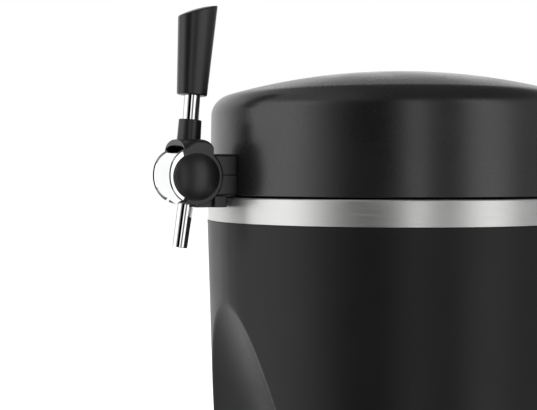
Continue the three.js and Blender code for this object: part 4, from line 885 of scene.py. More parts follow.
@dataclass(frozen=True)
class Screw:
    """A pan-headed screw with a driver's cross, made about its seat with its head down and its shaft up."""

    length: float
    head: float = 3.1
    height: float = 1.8
    shaft: float = 1.5
    crown_share: float = 0.72
    side_share: float = 0.4
    root_share: float = 0.78
    thread_start: float = 0.3
    thread_share: float = 0.6
    tooth_share: float = 0.3
    shaft_share: float = 0.92
    teeth: int = 5
    arm: float = 1.75
    arm_half: float = 0.42
    cross_depth: float = 0.9
    cross_start: float = -3.0
    cross_taper: float = 0.72

    def skin(self) -> Skin:
        """The screw, its thread as rings."""
        crown, side = self.head * self.crown_share, self.height * self.side_share
        profile = filleted([(0, -self.height, 0), (crown, -self.height, 0.5), (self.head, -side, 0.4),
                            (self.head, 0, 0.1)], closed=False, steps=2)
        profile += [(self.shaft, 0), (self.shaft, self.length * self.thread_start)]
        root = self.shaft * self.root_share
        for i in range(self.teeth):
            low = self.length * (self.thread_start + self.thread_share * i / self.teeth)
            profile += [(root, low), (self.shaft, low + self.length * self.tooth_share / self.teeth)]
        profile += [(root, self.length * self.shaft_share), (0, self.length)]
        return lathe(profile, SCREW_STEPS, closed=False)

    def recess(self) -> Skin:
        """The driver's cross, as a closed skin through the head."""
        arm, half = self.arm, self.arm_half
        flat = [(arm, -half), (arm, half), (half, half), (half, arm), (-half, arm), (-half, half), (-arm, half),
                (-arm, -half), (-half, -half), (-half, -arm), (half, -arm), (half, -half)]
        rows = ((1.0, self.cross_start), (self.cross_taper, self.cross_depth - self.height))
        return loft([np.array([(x * s, y * s, z) for x, y in flat]) for s, z in rows])


@dataclass
class Cabinet(Assembly):
    """The black shell with its arched hollow, and the steel band round its top."""

    foot_height: float = 4.0
    shell_top: float = 282.0
    foot_radius: float = 132.8
    top_radius: float = 140.6
    wall: float = 2.6
    neck_radius: float = 138.5
    neck_bore: float = 135.9
    neck_top: float = 298.5
    apex: float = 224.6
    straight: float = 64.0
    slope: float = 0.385
    hollow_end: float = 99.0
    hollow_radius: float = 120.0
    edge: float = 1.6
    band_radius: float = 140.0
    band_bottom: float = 282.2
    band_top: float = 300.0
    band_wall: float = 1.2
    band_lip: float = 4.0
    run_end: float = 0.93
    rim_shares: tuple[float, ...] = (0.955, 0.975, 0.988, 0.996, 1.004, 1.012, 1.025, 1.045)
    rest_start: float = 1.08
    least_half: float = 0.045
    blend_room: float = 6.0
    far_off: float = 50.0
    crowded: float = 40.0
    window_half: float = 42.5
    window_low: float = 109.5
    window_high: float = 210.5
    window_y: float = 125.0
    window_depth: float = 25.0
    notch_half: float = 18.3
    notch_low: float = 6.5
    notch_high: float = 9.3
    notch_y: float = -101.0
    notch_depth: float = 12.0

    def shell_radius(self, height: float) -> float:
        """Outer radius of the shell at a height."""
        share = (height - self.foot_height) / (self.shell_top - self.foot_height)
        return self.foot_radius + (self.top_radius - self.foot_radius) * share

    def hollow_back(self, height: float) -> float:
        """How far back the hollow reaches at a height."""
        start = -self.shell_radius(self.apex)
        drop = self.apex - height
        if drop <= self.straight:
            return start + self.slope * drop
        bend = 2 * (-self.hollow_end - start - self.slope * self.straight) / self.slope
        into = min(drop - self.straight, bend)
        return start + self.slope * (self.straight + into - into * into / (2 * bend))

    def columns(self) -> np.ndarray:
        """Places of the shell's columns: the hollow's own run from -1 to 1, the rest beyond it."""
        rim = np.array(self.rim_shares)
        inside = np.linspace(-self.run_end, self.run_end, 61)
        outside = np.linspace(self.rest_start, 2, 70)[:-1]
        return np.concatenate([-outside[::-1], -rim[::-1], inside, rim, outside])

    def shell_row(self, height: float, inward: float) -> np.ndarray:
        """A ring of the shell.

        Args:
            height: Its height.
            inward: How far inside the outer surface it runs.

        Returns:
            The ring's points.
        """
        radius = self.shell_radius(height)
        back = abs(self.hollow_back(min(height, self.apex)) - self.hollow_radius)
        reach = self.hollow_radius
        cosine = (radius ** 2 + back ** 2 - reach ** 2) / (2 * radius * back)
        half = math.acos(float(np.clip(cosine, -1, 1))) if height < self.apex else 0.0
        half = max(half, self.least_half)
        u, start = self.columns(), self.rest_start
        share = (np.abs(u) - start) / (2 - start)
        angles = np.where(np.abs(u) <= start, u * half,
                          np.sign(u) * (start * half + share * (math.pi - start * half)))
        outer = np.full(len(angles), radius - inward)
        if height < self.apex + self.blend_room:
            root = (reach + inward) ** 2 - (back * np.sin(angles)) ** 2
            near = back * np.cos(angles) - np.sqrt(np.maximum(root, 0))
            near = np.where((root > 0) & (np.cos(angles) > 0), near, radius + self.far_off)
            if height > self.apex:
                near = near + (height - self.apex) * self.slope
            outer = smooth_lesser(outer, near, self.edge)
        return np.column_stack([outer * np.sin(angles), -outer * np.cos(angles), np.full(len(angles), height)])

    def shell_skin(self) -> Skin:
        """The whole shell: outer skin up, neck, and inner skin down."""
        low = np.linspace(self.foot_height, self.apex - self.crowded, 46)
        near = self.apex - self.crowded * np.linspace(1, 0, 25)[1:] ** 2
        above = [self.apex + 1.5, self.apex + 4, self.apex + 8, 245, 258, 270, self.shell_top - 0.8]
        heights = np.concatenate([low, near, above])
        rings = [self.shell_row(h, 0) for h in heights]
        angles = np.arctan2(rings[-1][:, 0], -rings[-1][:, 1])
        inner_top = self.shell_top - self.wall
        profile = filleted([(self.top_radius, self.shell_top, 0.6), (self.neck_radius, self.shell_top, 0.2),
                            (self.neck_radius, self.neck_top, 0.5), (self.neck_bore, self.neck_top, 0.5),
                            (self.neck_bore, inner_top, 0.3), (self.top_radius - self.wall, inner_top, 0.0)],
                           closed=False)
        rings += [np.column_stack([radius * np.sin(angles), -radius * np.cos(angles),
                                   np.full(len(angles), height)]) for radius, height in profile]
        rings += [self.shell_row(h, self.wall) for h in heights[::-1] if h < inner_top - 1]
        return loft(rings, closed=True)

    def band_skin(self) -> Skin:
        """The steel band, rolled in at its top."""
        inner, lip = self.band_radius - self.band_wall, self.band_radius - self.band_lip
        under = self.band_top - self.band_wall
        profile = filleted([(self.band_radius, self.band_bottom, 0.35), (self.band_radius, self.band_top, 1.1),
                            (lip, self.band_top, 0.3), (lip, under, 0.3), (inner, under, 0.2),
                            (inner, self.band_bottom, 0.35)], steps=5)
        return lathe(profile, FINE_STEPS)

    def build(self) -> None:
        """Makes the shell, with its window for the cooler and its notch for the tray, and the band."""
        shell = self.shop.mesh_object("shell", self.shell_skin())
        window = rounded_block(self.window_half, self.window_depth, self.window_low, self.window_high, 0.5, 0.2)
        notch = rounded_block(self.notch_half, self.notch_depth, self.notch_low, self.notch_high, 0.3, 0.2)
        self.shop.cut(shell, window.moved(y=self.window_y), notch.moved(y=self.notch_y))
        self.keep(shell, Slot.SATIN_BLACK, "cabinet", "outer_shell", sharp=38)
        self.shape("band", self.band_skin(), Slot.BRUSHED_STEEL, "cabinet", "steel_band")


@dataclass
class Inside(Assembly):
    """What stands in the cabinet, and the base below it with its feet and screws."""

    well_bore: float = 88.5
    well_wall: float = 1.5
    well_floor: float = 36.0
    flange_bottom: float = 296.2
    flange_width: float = 8.0
    deck_bottom: float = 293.0
    deck_top: float = 296.0
    deck_reach: float = 135.6
    deck_gap: float = 0.3
    gasket_radius: float = 125.0
    gasket_half: float = 3.0
    gasket_crown: float = 1.3
    gasket_side: float = 2.0
    gasket_top: float = 301.15
    foot_radius: float = 9.0
    foot_height: float = 4.0
    stem_radius: float = 2.6
    stem: float = 4.4
    front_stem: float = 2.4
    groove_radius: float = 4.5
    groove_side: float = 0.3
    groove_depth: float = 0.5
    foot_circle: float = 108.0
    foot_angles: tuple[float, ...] = (52, 130, 230, 308)
    front_foot_circle: float = 58.0
    front_foot_angle: float = 40.0
    tray_centre: float = -137.0
    screw_circle: float = 127.2
    screw_angles: tuple[float, ...] = (90, 155, 205, 270)
    screw_seat: float = 3.8
    screw_length: float = 12.0
    front_screw_y: float = -90.0

    def foot_skin(self, stem: float) -> Skin:
        """A rubber foot with a round dip in its sole, up to the end of its stem."""
        radius, top, depth = self.foot_radius, self.foot_height, self.groove_depth
        groove, side = self.groove_radius, self.groove_side
        return spun([(0, depth, 0), (groove - side, depth, 0.2), (groove + side, 0, 0.2), (radius - 1, 0, 0.5),
                     (radius, 1, 0.5), (radius, top, 0.3), (self.stem_radius, top, 0.2),
                     (self.stem_radius, top + stem, 0.5), (0, top + stem, 0)], POST_STEPS, 2)

    def round_places(self, radius: float, degrees: Sequence[float], y: float, z: float) -> list[Point3]:
        """Places on a circle, with angles from the front turning to the right."""
        return [(radius * math.sin(math.radians(a)), y - radius * math.cos(math.radians(a)), z) for a in degrees]

    def build(self) -> None:
        """Makes the well, deck, gasket, insulation and base."""
        well, top = self.well_bore + self.well_wall, self.flange_bottom + self.well_wall
        under, flange = self.well_floor - self.well_wall, well + self.flange_width
        skin = spun([(0, under, 0), (well, under, 3.0), (well, self.flange_bottom, 0.8),
                     (flange, self.flange_bottom, 0.3), (flange, top, 0.7), (self.well_bore, top, 1.4),
                     (self.well_bore, self.well_floor, 2.2), (0, self.well_floor, 0)])
        self.shape("well", skin, Slot.ALUMINIUM, "cabinet", "keg_well")
        bore = well + self.deck_gap
        deck = filleted([(bore, self.deck_bottom, 0.4), (self.deck_reach, self.deck_bottom, 0.4),
                         (self.deck_reach, self.deck_top, 0.8), (bore, self.deck_top, 0.8)])
        self.shape("deck", lathe(deck), Slot.GREY_PLASTIC, "cabinet", "top_deck")
        radius, half, crown = self.gasket_radius, self.gasket_half, self.gasket_crown
        low, side = self.flange_bottom, self.flange_bottom + self.gasket_side
        gasket = filleted([(radius - half, low, 0.3), (radius + half, low, 0.3), (radius + half, side, 0.6),
                           (radius + crown, self.gasket_top, 1.0), (radius - crown, self.gasket_top, 1.0),
                           (radius - half, side, 0.6)])
        self.shape("gasket", lathe(gasket), Slot.RUBBER, "cabinet", "lid_gasket")
        self.refine("foam_jacket", Slot.FOAM, "cabinet", 0.8)
        self.refine("base_plate", Slot.SATIN_BLACK, "cabinet", 0.4)
        feet = self.shop.set_out("feet", self.foot_skin(self.stem),
                                 self.round_places(self.foot_circle, self.foot_angles, 0, 0), Slot.RUBBER)
        self.keep(feet, Slot.RUBBER, "cabinet", "foot_1", "foot_2", "foot_3", "foot_4")
        angles = (self.front_foot_angle, -self.front_foot_angle)
        front = self.shop.set_out("front_feet", self.foot_skin(self.front_stem),
                                  self.round_places(self.front_foot_circle, angles, self.tray_centre, 0),
                                  Slot.RUBBER)
        self.keep(front, Slot.RUBBER, "cabinet", "front_foot_1", "front_foot_2")
        places = self.round_places(self.screw_circle, self.screw_angles, 0, self.screw_seat)
        places.append((0, self.front_screw_y, self.screw_seat))
        screw = Screw(self.screw_length)
        screws = self.shop.set_out("base_screws", screw.skin(), places, Slot.STEEL)
        self.shop.cut_with(screws, self.shop.set_out("recesses", screw.recess(), places, Slot.STEEL))
        self.keep(screws, Slot.STEEL, "cabinet", *(f"base_screw_{i}" for i in range(1, 6)))


@dataclass
class Tray(Assembly):
    """The carrier in front of the cabinet, the drip tray in it and the grille on the tray."""

    radius: float = 78.0
    centre: float = -137.0
    back_radius: float = 119.7
    back_centre: float = -219.0
    carrier_top: float = 34.0
    carrier_wall: float = 2.5
    floor_bottom: float = 4.0
    floor_top: float = 6.5
    pan_inset: float = 3.1
    pan_bottom: float = 7.0
    pan_thickness: float = 2.0
    rim_bottom: float = 34.2
    rim_top: float = 38.2
    seat_inset: float = 3.4
    seat_height: float = 35.8
    bowl_inset: float = 5.8
    grille_inset: float = 3.7
    grille_bottom: float = 36.0
    grille_top: float = 38.0
    grille_back_room: float = 1.5
    slot_width: float = 4.0
    slot_pitch: float = 8.0
    slot_rows: int = 10
    slot_start: float = -116.0
    slot_margin: float = 9.0
    slot_low: float = -6.0
    slot_high: float = 4.0
    slot_corner: float = 0.01
    rib: float = 8.0
    middle_inset: float = 30.0
    tongue_half: float = 18.0
    tongue_depth: float = 9.5
    tongue_low: float = 6.8
    tongue_high: float = 9.0
    tongue_y: float = -92.5
    boss_radius: float = 5.0
    boss_low: float = 8.0
    boss_high: float = 13.3
    boss_bore: float = 1.8
    boss_y: float = -90.0
    boss_hole: tuple[float, float] = (0.0, 20.0)
    stem_bore: float = 2.9
    stem_hole: tuple[float, float] = (-1.0, 8.0)
    stem_x: float = 37.28
    stem_y: float = -181.43

    def outline(self, back_room: float = 0.0) -> Outline:
        """The lens between the tray's own circle and the hollow's, as a rule of its inset."""

        def lens(inset: float) -> np.ndarray:
            """The lens drawn in by an inset."""
            a, b = self.radius - inset, self.back_radius - inset - back_room
            apart = self.centre - self.back_centre
            across = (apart ** 2 + a ** 2 - b ** 2) / (2 * apart)
            half = math.sqrt(a ** 2 - across ** 2)
            y = self.centre - across
            front = math.degrees(math.atan2(y - self.centre, half))
            back = math.degrees(math.atan2(y - self.back_centre, half))
            points = arc((0, self.back_centre), b, back, 180 - back, 60)
            points += arc((0, self.centre), a, 180 - front, 360 + front, 132)[1:-1]
            return np.array(points)

        return lens

    def sunk(self, corners: Sequence[Corner]) -> Skin:
        """A dish from the middle of its underside, over its rim and down to the middle of its floor."""
        return prism(self.outline(), filleted(corners, closed=False, steps=5))

    def slots(self) -> tuple[list[Point3], list[Point3]]:
        """Middles of the grille's slots, and how far a slot 1 mm long is stretched for each."""
        places, stretches = [], []
        for row in range(self.slot_rows):
            rear = self.slot_start - row * self.slot_pitch
            far = max(abs(rear - self.centre), abs(rear - self.slot_width - self.centre))
            front_room = (self.radius - self.slot_margin) ** 2 - far ** 2
            back_room = (self.back_radius - self.slot_margin - self.grille_back_room) ** 2
            back_room -= (rear - self.back_centre) ** 2
            half = math.sqrt(max(min(front_room, back_room), self.rib ** 2))
            for side in (-1, 1):
                places.append((side * (half + self.rib / 2) / 2, rear - self.slot_width / 2, self.grille_top))
                stretches.append((half - self.rib / 2, 1, 1))
        return places, stretches

    def build(self) -> None:
        """Makes the carrier, the tray and the grille."""
        middle, wall, pan_top = self.middle_inset, self.carrier_wall, self.pan_bottom + self.pan_thickness
        carrier = self.sunk([(middle, self.floor_bottom, 0), (0, self.floor_bottom, 1.2),
                             (0, self.carrier_top, 0.8), (wall, self.carrier_top, 0.6),
                             (wall, self.floor_top, 1.5), (middle, self.floor_top, 0)])
        obj = self.shop.mesh_object("carrier", carrier)
        tongue = rounded_block(self.tongue_half, self.tongue_depth, self.tongue_low, self.tongue_high, 0.8, 0.3)
        boss = bar(self.boss_radius, self.boss_low, self.boss_high, 0.5).moved(y=self.boss_y)
        self.shop.cut(obj, tongue.moved(y=self.tongue_y), boss, operation="UNION")
        stem = bar(self.stem_bore, *self.stem_hole).moved(y=self.stem_y)
        stems = [stem.moved(x=side * self.stem_x) for side in (-1, 1)]
        hole = bar(self.boss_bore, *self.boss_hole).moved(y=self.boss_y)
        self.shop.cut(obj, stems[0].with_others(stems[1], hole))
        self.keep(obj, Slot.SATIN_BLACK, "cabinet", "tray_carrier", sharp=38)
        tray = self.sunk([(middle, self.pan_bottom, 0), (self.pan_inset, self.pan_bottom, 3.0),
                          (self.pan_inset, self.rim_bottom, 0.4), (0, self.rim_bottom, 0.4),
                          (0, self.rim_top, 1.2), (self.seat_inset, self.rim_top, 0.6),
                          (self.seat_inset, self.seat_height, 0.3), (self.bowl_inset, self.seat_height, 0.8),
                          (self.bowl_inset, pan_top, 4.0), (middle, pan_top, 0)])
        self.shape("tray", tray, Slot.SATIN_BLACK, "drip_tray", "drip_tray", sharp=38)
        outline = self.outline(self.grille_back_room)
        rows = [(self.grille_inset + inset, height)
                for inset, height in edge_rows(self.grille_bottom, self.grille_top, 0.5, 3)]
        grille = self.shop.mesh_object("grille", prism(outline, rows))
        cutter = rounded_block(0.5, self.slot_width / 2, self.slot_low, self.slot_high, self.slot_corner,
                               self.slot_corner)
        places, stretches = self.slots()
        self.shop.cut_with(grille, self.shop.set_out("slots", cutter, places, Slot.STEEL, stretches))
        self.shop.softened(grille, 0.35, angle=60, segments=2)
        self.keep(grille, Slot.BRUSHED_STEEL, "drip_grille", "drip_grille", sharp=45)


@dataclass
class Cooler(Assembly):
    """The cooler behind the well and the housing over it."""

    half_width: float = 60.0
    front: float = 100.0
    rear: float = 160.0
    bottom: float = 40.0
    top: float = 268.0
    wall: float = 2.4
    corner: float = 14.0
    shell_gap: float = 0.3
    front_room: float = 5.0
    louvre_half: float = 40.0
    louvre_height: float = 5.0
    louvre_pitch: float = 9.0
    louvre_count: int = 9
    middle: float = 160.0
    screw_x: float = 50.0
    screw_heights: tuple[float, float] = (54.0, 254.0)
    screw_tips: tuple[float, float] = (118.5, 124.6)
    screw_seat: float = 158.4
    screw_near: float = 10.0
    post_radius: float = 5.0
    post_overlap: float = 0.3
    board_post_radius: float = 3.0
    board_post_start: float = 140.8
    board_post_x: float = 36.0
    board_post_heights: tuple[float, float] = (84.0, 112.0)
    core_low: float = 30.0
    core_high: float = 276.0
    bore_radius: float = 1.8
    head_bore: float = 3.4
    head_start: float = 158.2
    bore_start: float = 90.0
    bore_end: float = 170.0
    tool_half: float = 6.0
    opening_middle: float = 60.0
    openings: tuple[Point3, ...] = ((-24.0, 13.3, 8.8), (24.0, 6.9, 10.3))
    peg_bore: float = 2.8
    peg_x: float = 19.0
    peg_y: float = 154.0
    peg_hole: tuple[float, float] = (255.0, 280.0)
    side_vent_half: float = 8.0
    side_vent_y: float = 140.0
    slat_thickness: float = 0.9
    slat_overlap: float = 0.2
    slat_half_depth: float = 1.5
    side_slat_half_depth: float = 1.4
    side_slat_half: float = 6.2
    slat_inset: float = 1.3
    slat_tilt: float = 35.0
    fin_count: int = 12
    fin_thickness: float = 1.6
    fin_half_height: float = 50.0
    fin_half_depth: float = 11.15
    fin_middle: float = 119.75
    sink_half: float = 42.0
    sink_half_depth: float = 2.5
    sink_y: float = 106.4
    blade_count: int = 7
    blade_foot: float = 12.5
    blade_reach: float = 36.0
    blade_chord: float = 6.4
    chord_taper: float = 0.12
    tip_taper: float = 0.25
    tip_start: float = 0.86
    tip_length: float = 0.14
    blade_thickness: float = 0.75
    blade_camber: float = 0.7
    root_pitch: float = 46.0
    blade_twist: float = 9.0
    hub_radius: float = 15.0
    hub_bore: float = 2.5
    hub_front: float = 132.2
    hub_floor: float = 133.2
    hub_rear: float = 143.6
    rotor_middle: float = 137.9

    def outline(self, front: float) -> Outline:
        """The housing's plan from a front line: straight sides with two round rear corners."""

        def plan(inset: float) -> np.ndarray:
            """The plan drawn in by an inset on all sides but its front."""
            half, rear, corner = self.half_width - inset, self.rear - inset, self.corner - inset
            points = [(-half, front), (half, front)]
            points += arc((half - corner, rear - corner), corner, 0, 90, 14)
            points += arc((corner - half, rear - corner), corner, 90, 180, 14)
            return np.array(points)

        return plan

    def housing_object(self) -> bpy.types.Object:
        """The housing with its openings, posts and louvre slats."""
        shop, inner = self.shop, self.rear - self.wall
        housing = shop.mesh_object("housing", prism(self.outline(self.front), edge_rows(self.bottom, self.top, 1.8)))
        room = [(self.wall + inset, height)
                for inset, height in edge_rows(self.bottom + self.wall, self.top - self.wall, 0.6, 2)]
        shop.cut(housing, prism(self.outline(self.front - self.front_room), room))
        screw_places = [(x, z) for x in (-self.screw_x, self.screw_x) for z in self.screw_heights]
        board_places = [(x, z) for x in (-self.board_post_x, self.board_post_x) for z in self.board_post_heights]
        end = inner + self.post_overlap
        post = bar(self.post_radius, self.front, end, steps=POST_STEPS).turned("x", -90)
        posts = [post.moved(x=x, z=z) for x, z in screw_places]
        post = bar(self.board_post_radius, self.board_post_start, end, steps=PEG_STEPS).turned("x", -90)
        posts += [post.moved(x=x, z=z) for x, z in board_places]
        shop.cut(housing, posts[0].with_others(*posts[1:]), operation="UNION")
        cabinet = Cabinet(shop)
        low, high = self.core_low, self.core_high
        core = [(0, low), (cabinet.shell_radius(low) + self.shell_gap, low),
                (cabinet.shell_radius(high) + self.shell_gap, high), (0, high)]
        shop.cut(housing, lathe(core, closed=False))
        thin, wide, seat = self.bore_radius, self.head_bore, self.head_start
        low, high = self.bore_start, self.bore_end
        bore = lathe([(0, low), (thin, low), (thin, seat), (wide, seat), (wide, high), (0, high)], POST_STEPS,
                     closed=False).turned("x", -90)
        holes = [bore.moved(x=x, z=z) for x, z in screw_places]
        for x, half, tall in self.openings:
            low, high = self.opening_middle - tall, self.opening_middle + tall
            holes.append(rounded_block(half, self.tool_half, low, high, 0.3, 0.1).moved(x=x, y=self.rear))
        for side in (-1, 1):
            peg = bar(self.peg_bore, *self.peg_hole, steps=PEG_STEPS)
            holes.append(peg.moved(x=side * self.peg_x, y=self.peg_y))
        first = self.middle - (self.louvre_count - 1) / 2 * self.louvre_pitch
        for i in range(self.louvre_count):
            z = first + i * self.louvre_pitch
            low, high = z - self.louvre_height / 2, z + self.louvre_height / 2
            louvre = rounded_block(self.louvre_half, self.tool_half, low, high, 1.2, 0.1)
            holes.append(louvre.moved(y=self.rear))
            for side in (-1, 1):
                vent = rounded_block(self.side_vent_half, self.tool_half, low, high, 0.4, 0.1)
                holes.append(vent.moved(x=side * self.half_width, y=self.side_vent_y))
        shop.cut(housing, holes[0].with_others(*holes[1:]))
        shop.softened(housing, 0.3, angle=50)
        half, lift = self.slat_thickness / 2, (0, 0, self.louvre_pitch)
        rows = edge_rows(-half, half, 0.2, 1)
        slat = prism(rounded_rectangle(self.louvre_half + self.slat_overlap, self.slat_half_depth, 0.3, 1), rows)
        shop.repeated(housing, slat.turned("x", -self.slat_tilt), self.louvre_count,
                      shop.place(0, self.rear - self.slat_inset, first), lift, slot=Slot.SATIN_BLACK)
        slat = prism(rounded_rectangle(self.side_slat_half_depth, self.side_slat_half, 0.3, 1), rows)
        for side in (-1, 1):
            place = shop.place(side * (self.half_width - self.slat_inset), self.side_vent_y, first)
            shop.repeated(housing, slat.turned("y", side * self.slat_tilt), self.louvre_count, place, lift,
                          slot=Slot.SATIN_BLACK)
        return housing

    def blade_skin(self) -> Skin:
        """A twisted, cambered fan blade along x, about the rotor's middle."""
        rings = []
        around = np.linspace(0, 2 * math.pi, 12, endpoint=False)
        for share in np.linspace(0, 1, 8):
            radius = self.blade_foot + (self.blade_reach - self.blade_foot) * share
            tip = max(0.0, share - self.tip_start) / self.tip_length
            chord = self.blade_chord * (1 - self.chord_taper * share) * (1 - self.tip_taper * tip)
            pitch = math.radians(self.root_pitch - self.blade_twist * share)
            along = chord * np.cos(around)
            thick = self.blade_thickness * np.sin(around)
            thick = thick + self.blade_camber * (1 - (along / chord) ** 2) - self.blade_camber / 2
            across = thick * math.cos(pitch) - along * math.sin(pitch)
            upward = thick * math.sin(pitch) + along * math.cos(pitch)
            rings.append(np.column_stack([np.full(len(around), radius), across, upward]))
        return loft(rings)

    def build(self) -> None:
        """Makes the housing, its screws and everything it covers."""
        shop = self.shop
        self.keep(self.housing_object(), Slot.SATIN_BLACK, "cabinet", "rear_housing", sharp=40)
        for level, height in enumerate(self.screw_heights):
            screw = Screw(self.screw_seat - self.screw_tips[level])
            places = [(x, self.screw_seat, height) for x in (-self.screw_x, self.screw_x)]
            name = ("low_housing_screws", "high_housing_screws")[level]
            screws = shop.set_out(name, screw.skin().turned("x", 90), places, Slot.STEEL)
            shop.cut_with(screws, shop.set_out("recesses", screw.recess().turned("x", 90), places, Slot.STEEL))
            self.keep(screws, Slot.STEEL, "cabinet", *self.screw_nodes(height))
        self.refine("cold_block", Slot.ALUMINIUM, "cabinet", 0.5)
        self.refine("cooler_module", Slot.CERAMIC, "cabinet", 0.3)
        tall = self.fin_half_height
        plate = rounded_block(self.sink_half, self.sink_half_depth, self.middle - tall, self.middle + tall, 0.5, 0.4)
        sink = shop.mesh_object("sink", plate.moved(y=self.sink_y))
        fin = prism(rounded_rectangle(self.fin_thickness / 2, self.fin_half_depth, 0.3, 1),
                    edge_rows(-tall, tall, 0.3, 1))
        reach = self.sink_half - self.fin_thickness / 2
        shop.repeated(sink, fin, self.fin_count, shop.place(-reach, self.fin_middle, self.middle),
                      (2 * reach / (self.fin_count - 1), 0, 0), slot=Slot.ALUMINIUM)
        self.keep(sink, Slot.ALUMINIUM, "cabinet", "heat_sink")
        self.refine("fan_frame", Slot.GREY_PLASTIC, "cabinet", 0.5)
        hub, bore = self.hub_radius, self.hub_bore
        skin = spun([(0, self.hub_front, 0), (hub, self.hub_front, 0.6), (hub, self.hub_rear, 1.4),
                     (bore, self.hub_rear, 0.3), (bore, self.hub_floor, 0.1), (0, self.hub_floor, 0)], MIDDLE_STEPS)
        rotor = shop.mesh_object("rotor", skin.turned("x", -90).moved(z=self.middle))
        shop.repeated(rotor, self.blade_skin(), self.blade_count, shop.place(0, self.rotor_middle, self.middle),
                      turn=360 / self.blade_count, slot=Slot.GREY_PLASTIC)
        self.keep(rotor, Slot.GREY_PLASTIC, "fan_rotor", "fan_rotor", sharp=40)
        self.refine("temperature_sensor", Slot.GREY_PLASTIC, "cabinet", 0.4)
        self.refine("control_board", Slot.BOARD, "cabinet", 0.2)

    def screw_nodes(self, height: float) -> list[str]:
        """The housing's screw nodes at a height."""
        names = [f"housing_screw_{i}" for i in range(1, 5)]
        return [name for name in names
                if abs((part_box(name)[0].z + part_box(name)[1].z) / 2 / METRES - height) < self.screw_near]


@dataclass
class Panel(Assembly):
    """The mains inlet and the power switch in the housing's rear wall."""

    def build(self) -> None:
        """Makes the inlet, the switch's bezel and its rocker."""
        self.refine("power_inlet", Slot.GREY_PLASTIC, "cabinet", 0.6)
        self.refine("switch_bezel", Slot.GREY_PLASTIC, "cabinet", 0.5)
        self.refine("power_switch", Slot.GLOSS_BLACK, "power_switch", 0.4)


@dataclass
class Hinge(Assembly):
    """The lid's hinge: bracket, pin and leaf."""

    axis_y: float = 149.0
    axis_z: float = 304.5
    pin_radius: float = 2.5
    pin_half: float = 29.9
    head_radius: float = 4.0
    head_half: float = 28.3

    def build(self) -> None:
        """Makes the hinge."""
        self.refine("hinge_bracket", Slot.SATIN_BLACK, "cabinet", 0.6)
        self.refine("lid_hinge_leaf", Slot.SATIN_BLACK, "lid", 0.6)
        half, head = self.pin_half, self.head_half
        pin = spun([(0, -half, 0), (self.head_radius, -half, 0.8), (self.head_radius, -head, 0.3),
                    (self.pin_radius, -head, 0.1), (self.pin_radius, head, 0.1), (self.head_radius, head, 0.3),
                    (self.head_radius, half, 0.8), (0, half, 0)], SMALL_STEPS)
        pin = pin.turned("y", 90).moved(y=self.axis_y, z=self.axis_z)
        self.shape("hinge_rod", pin, Slot.STEEL, "cabinet", "hinge_pin")


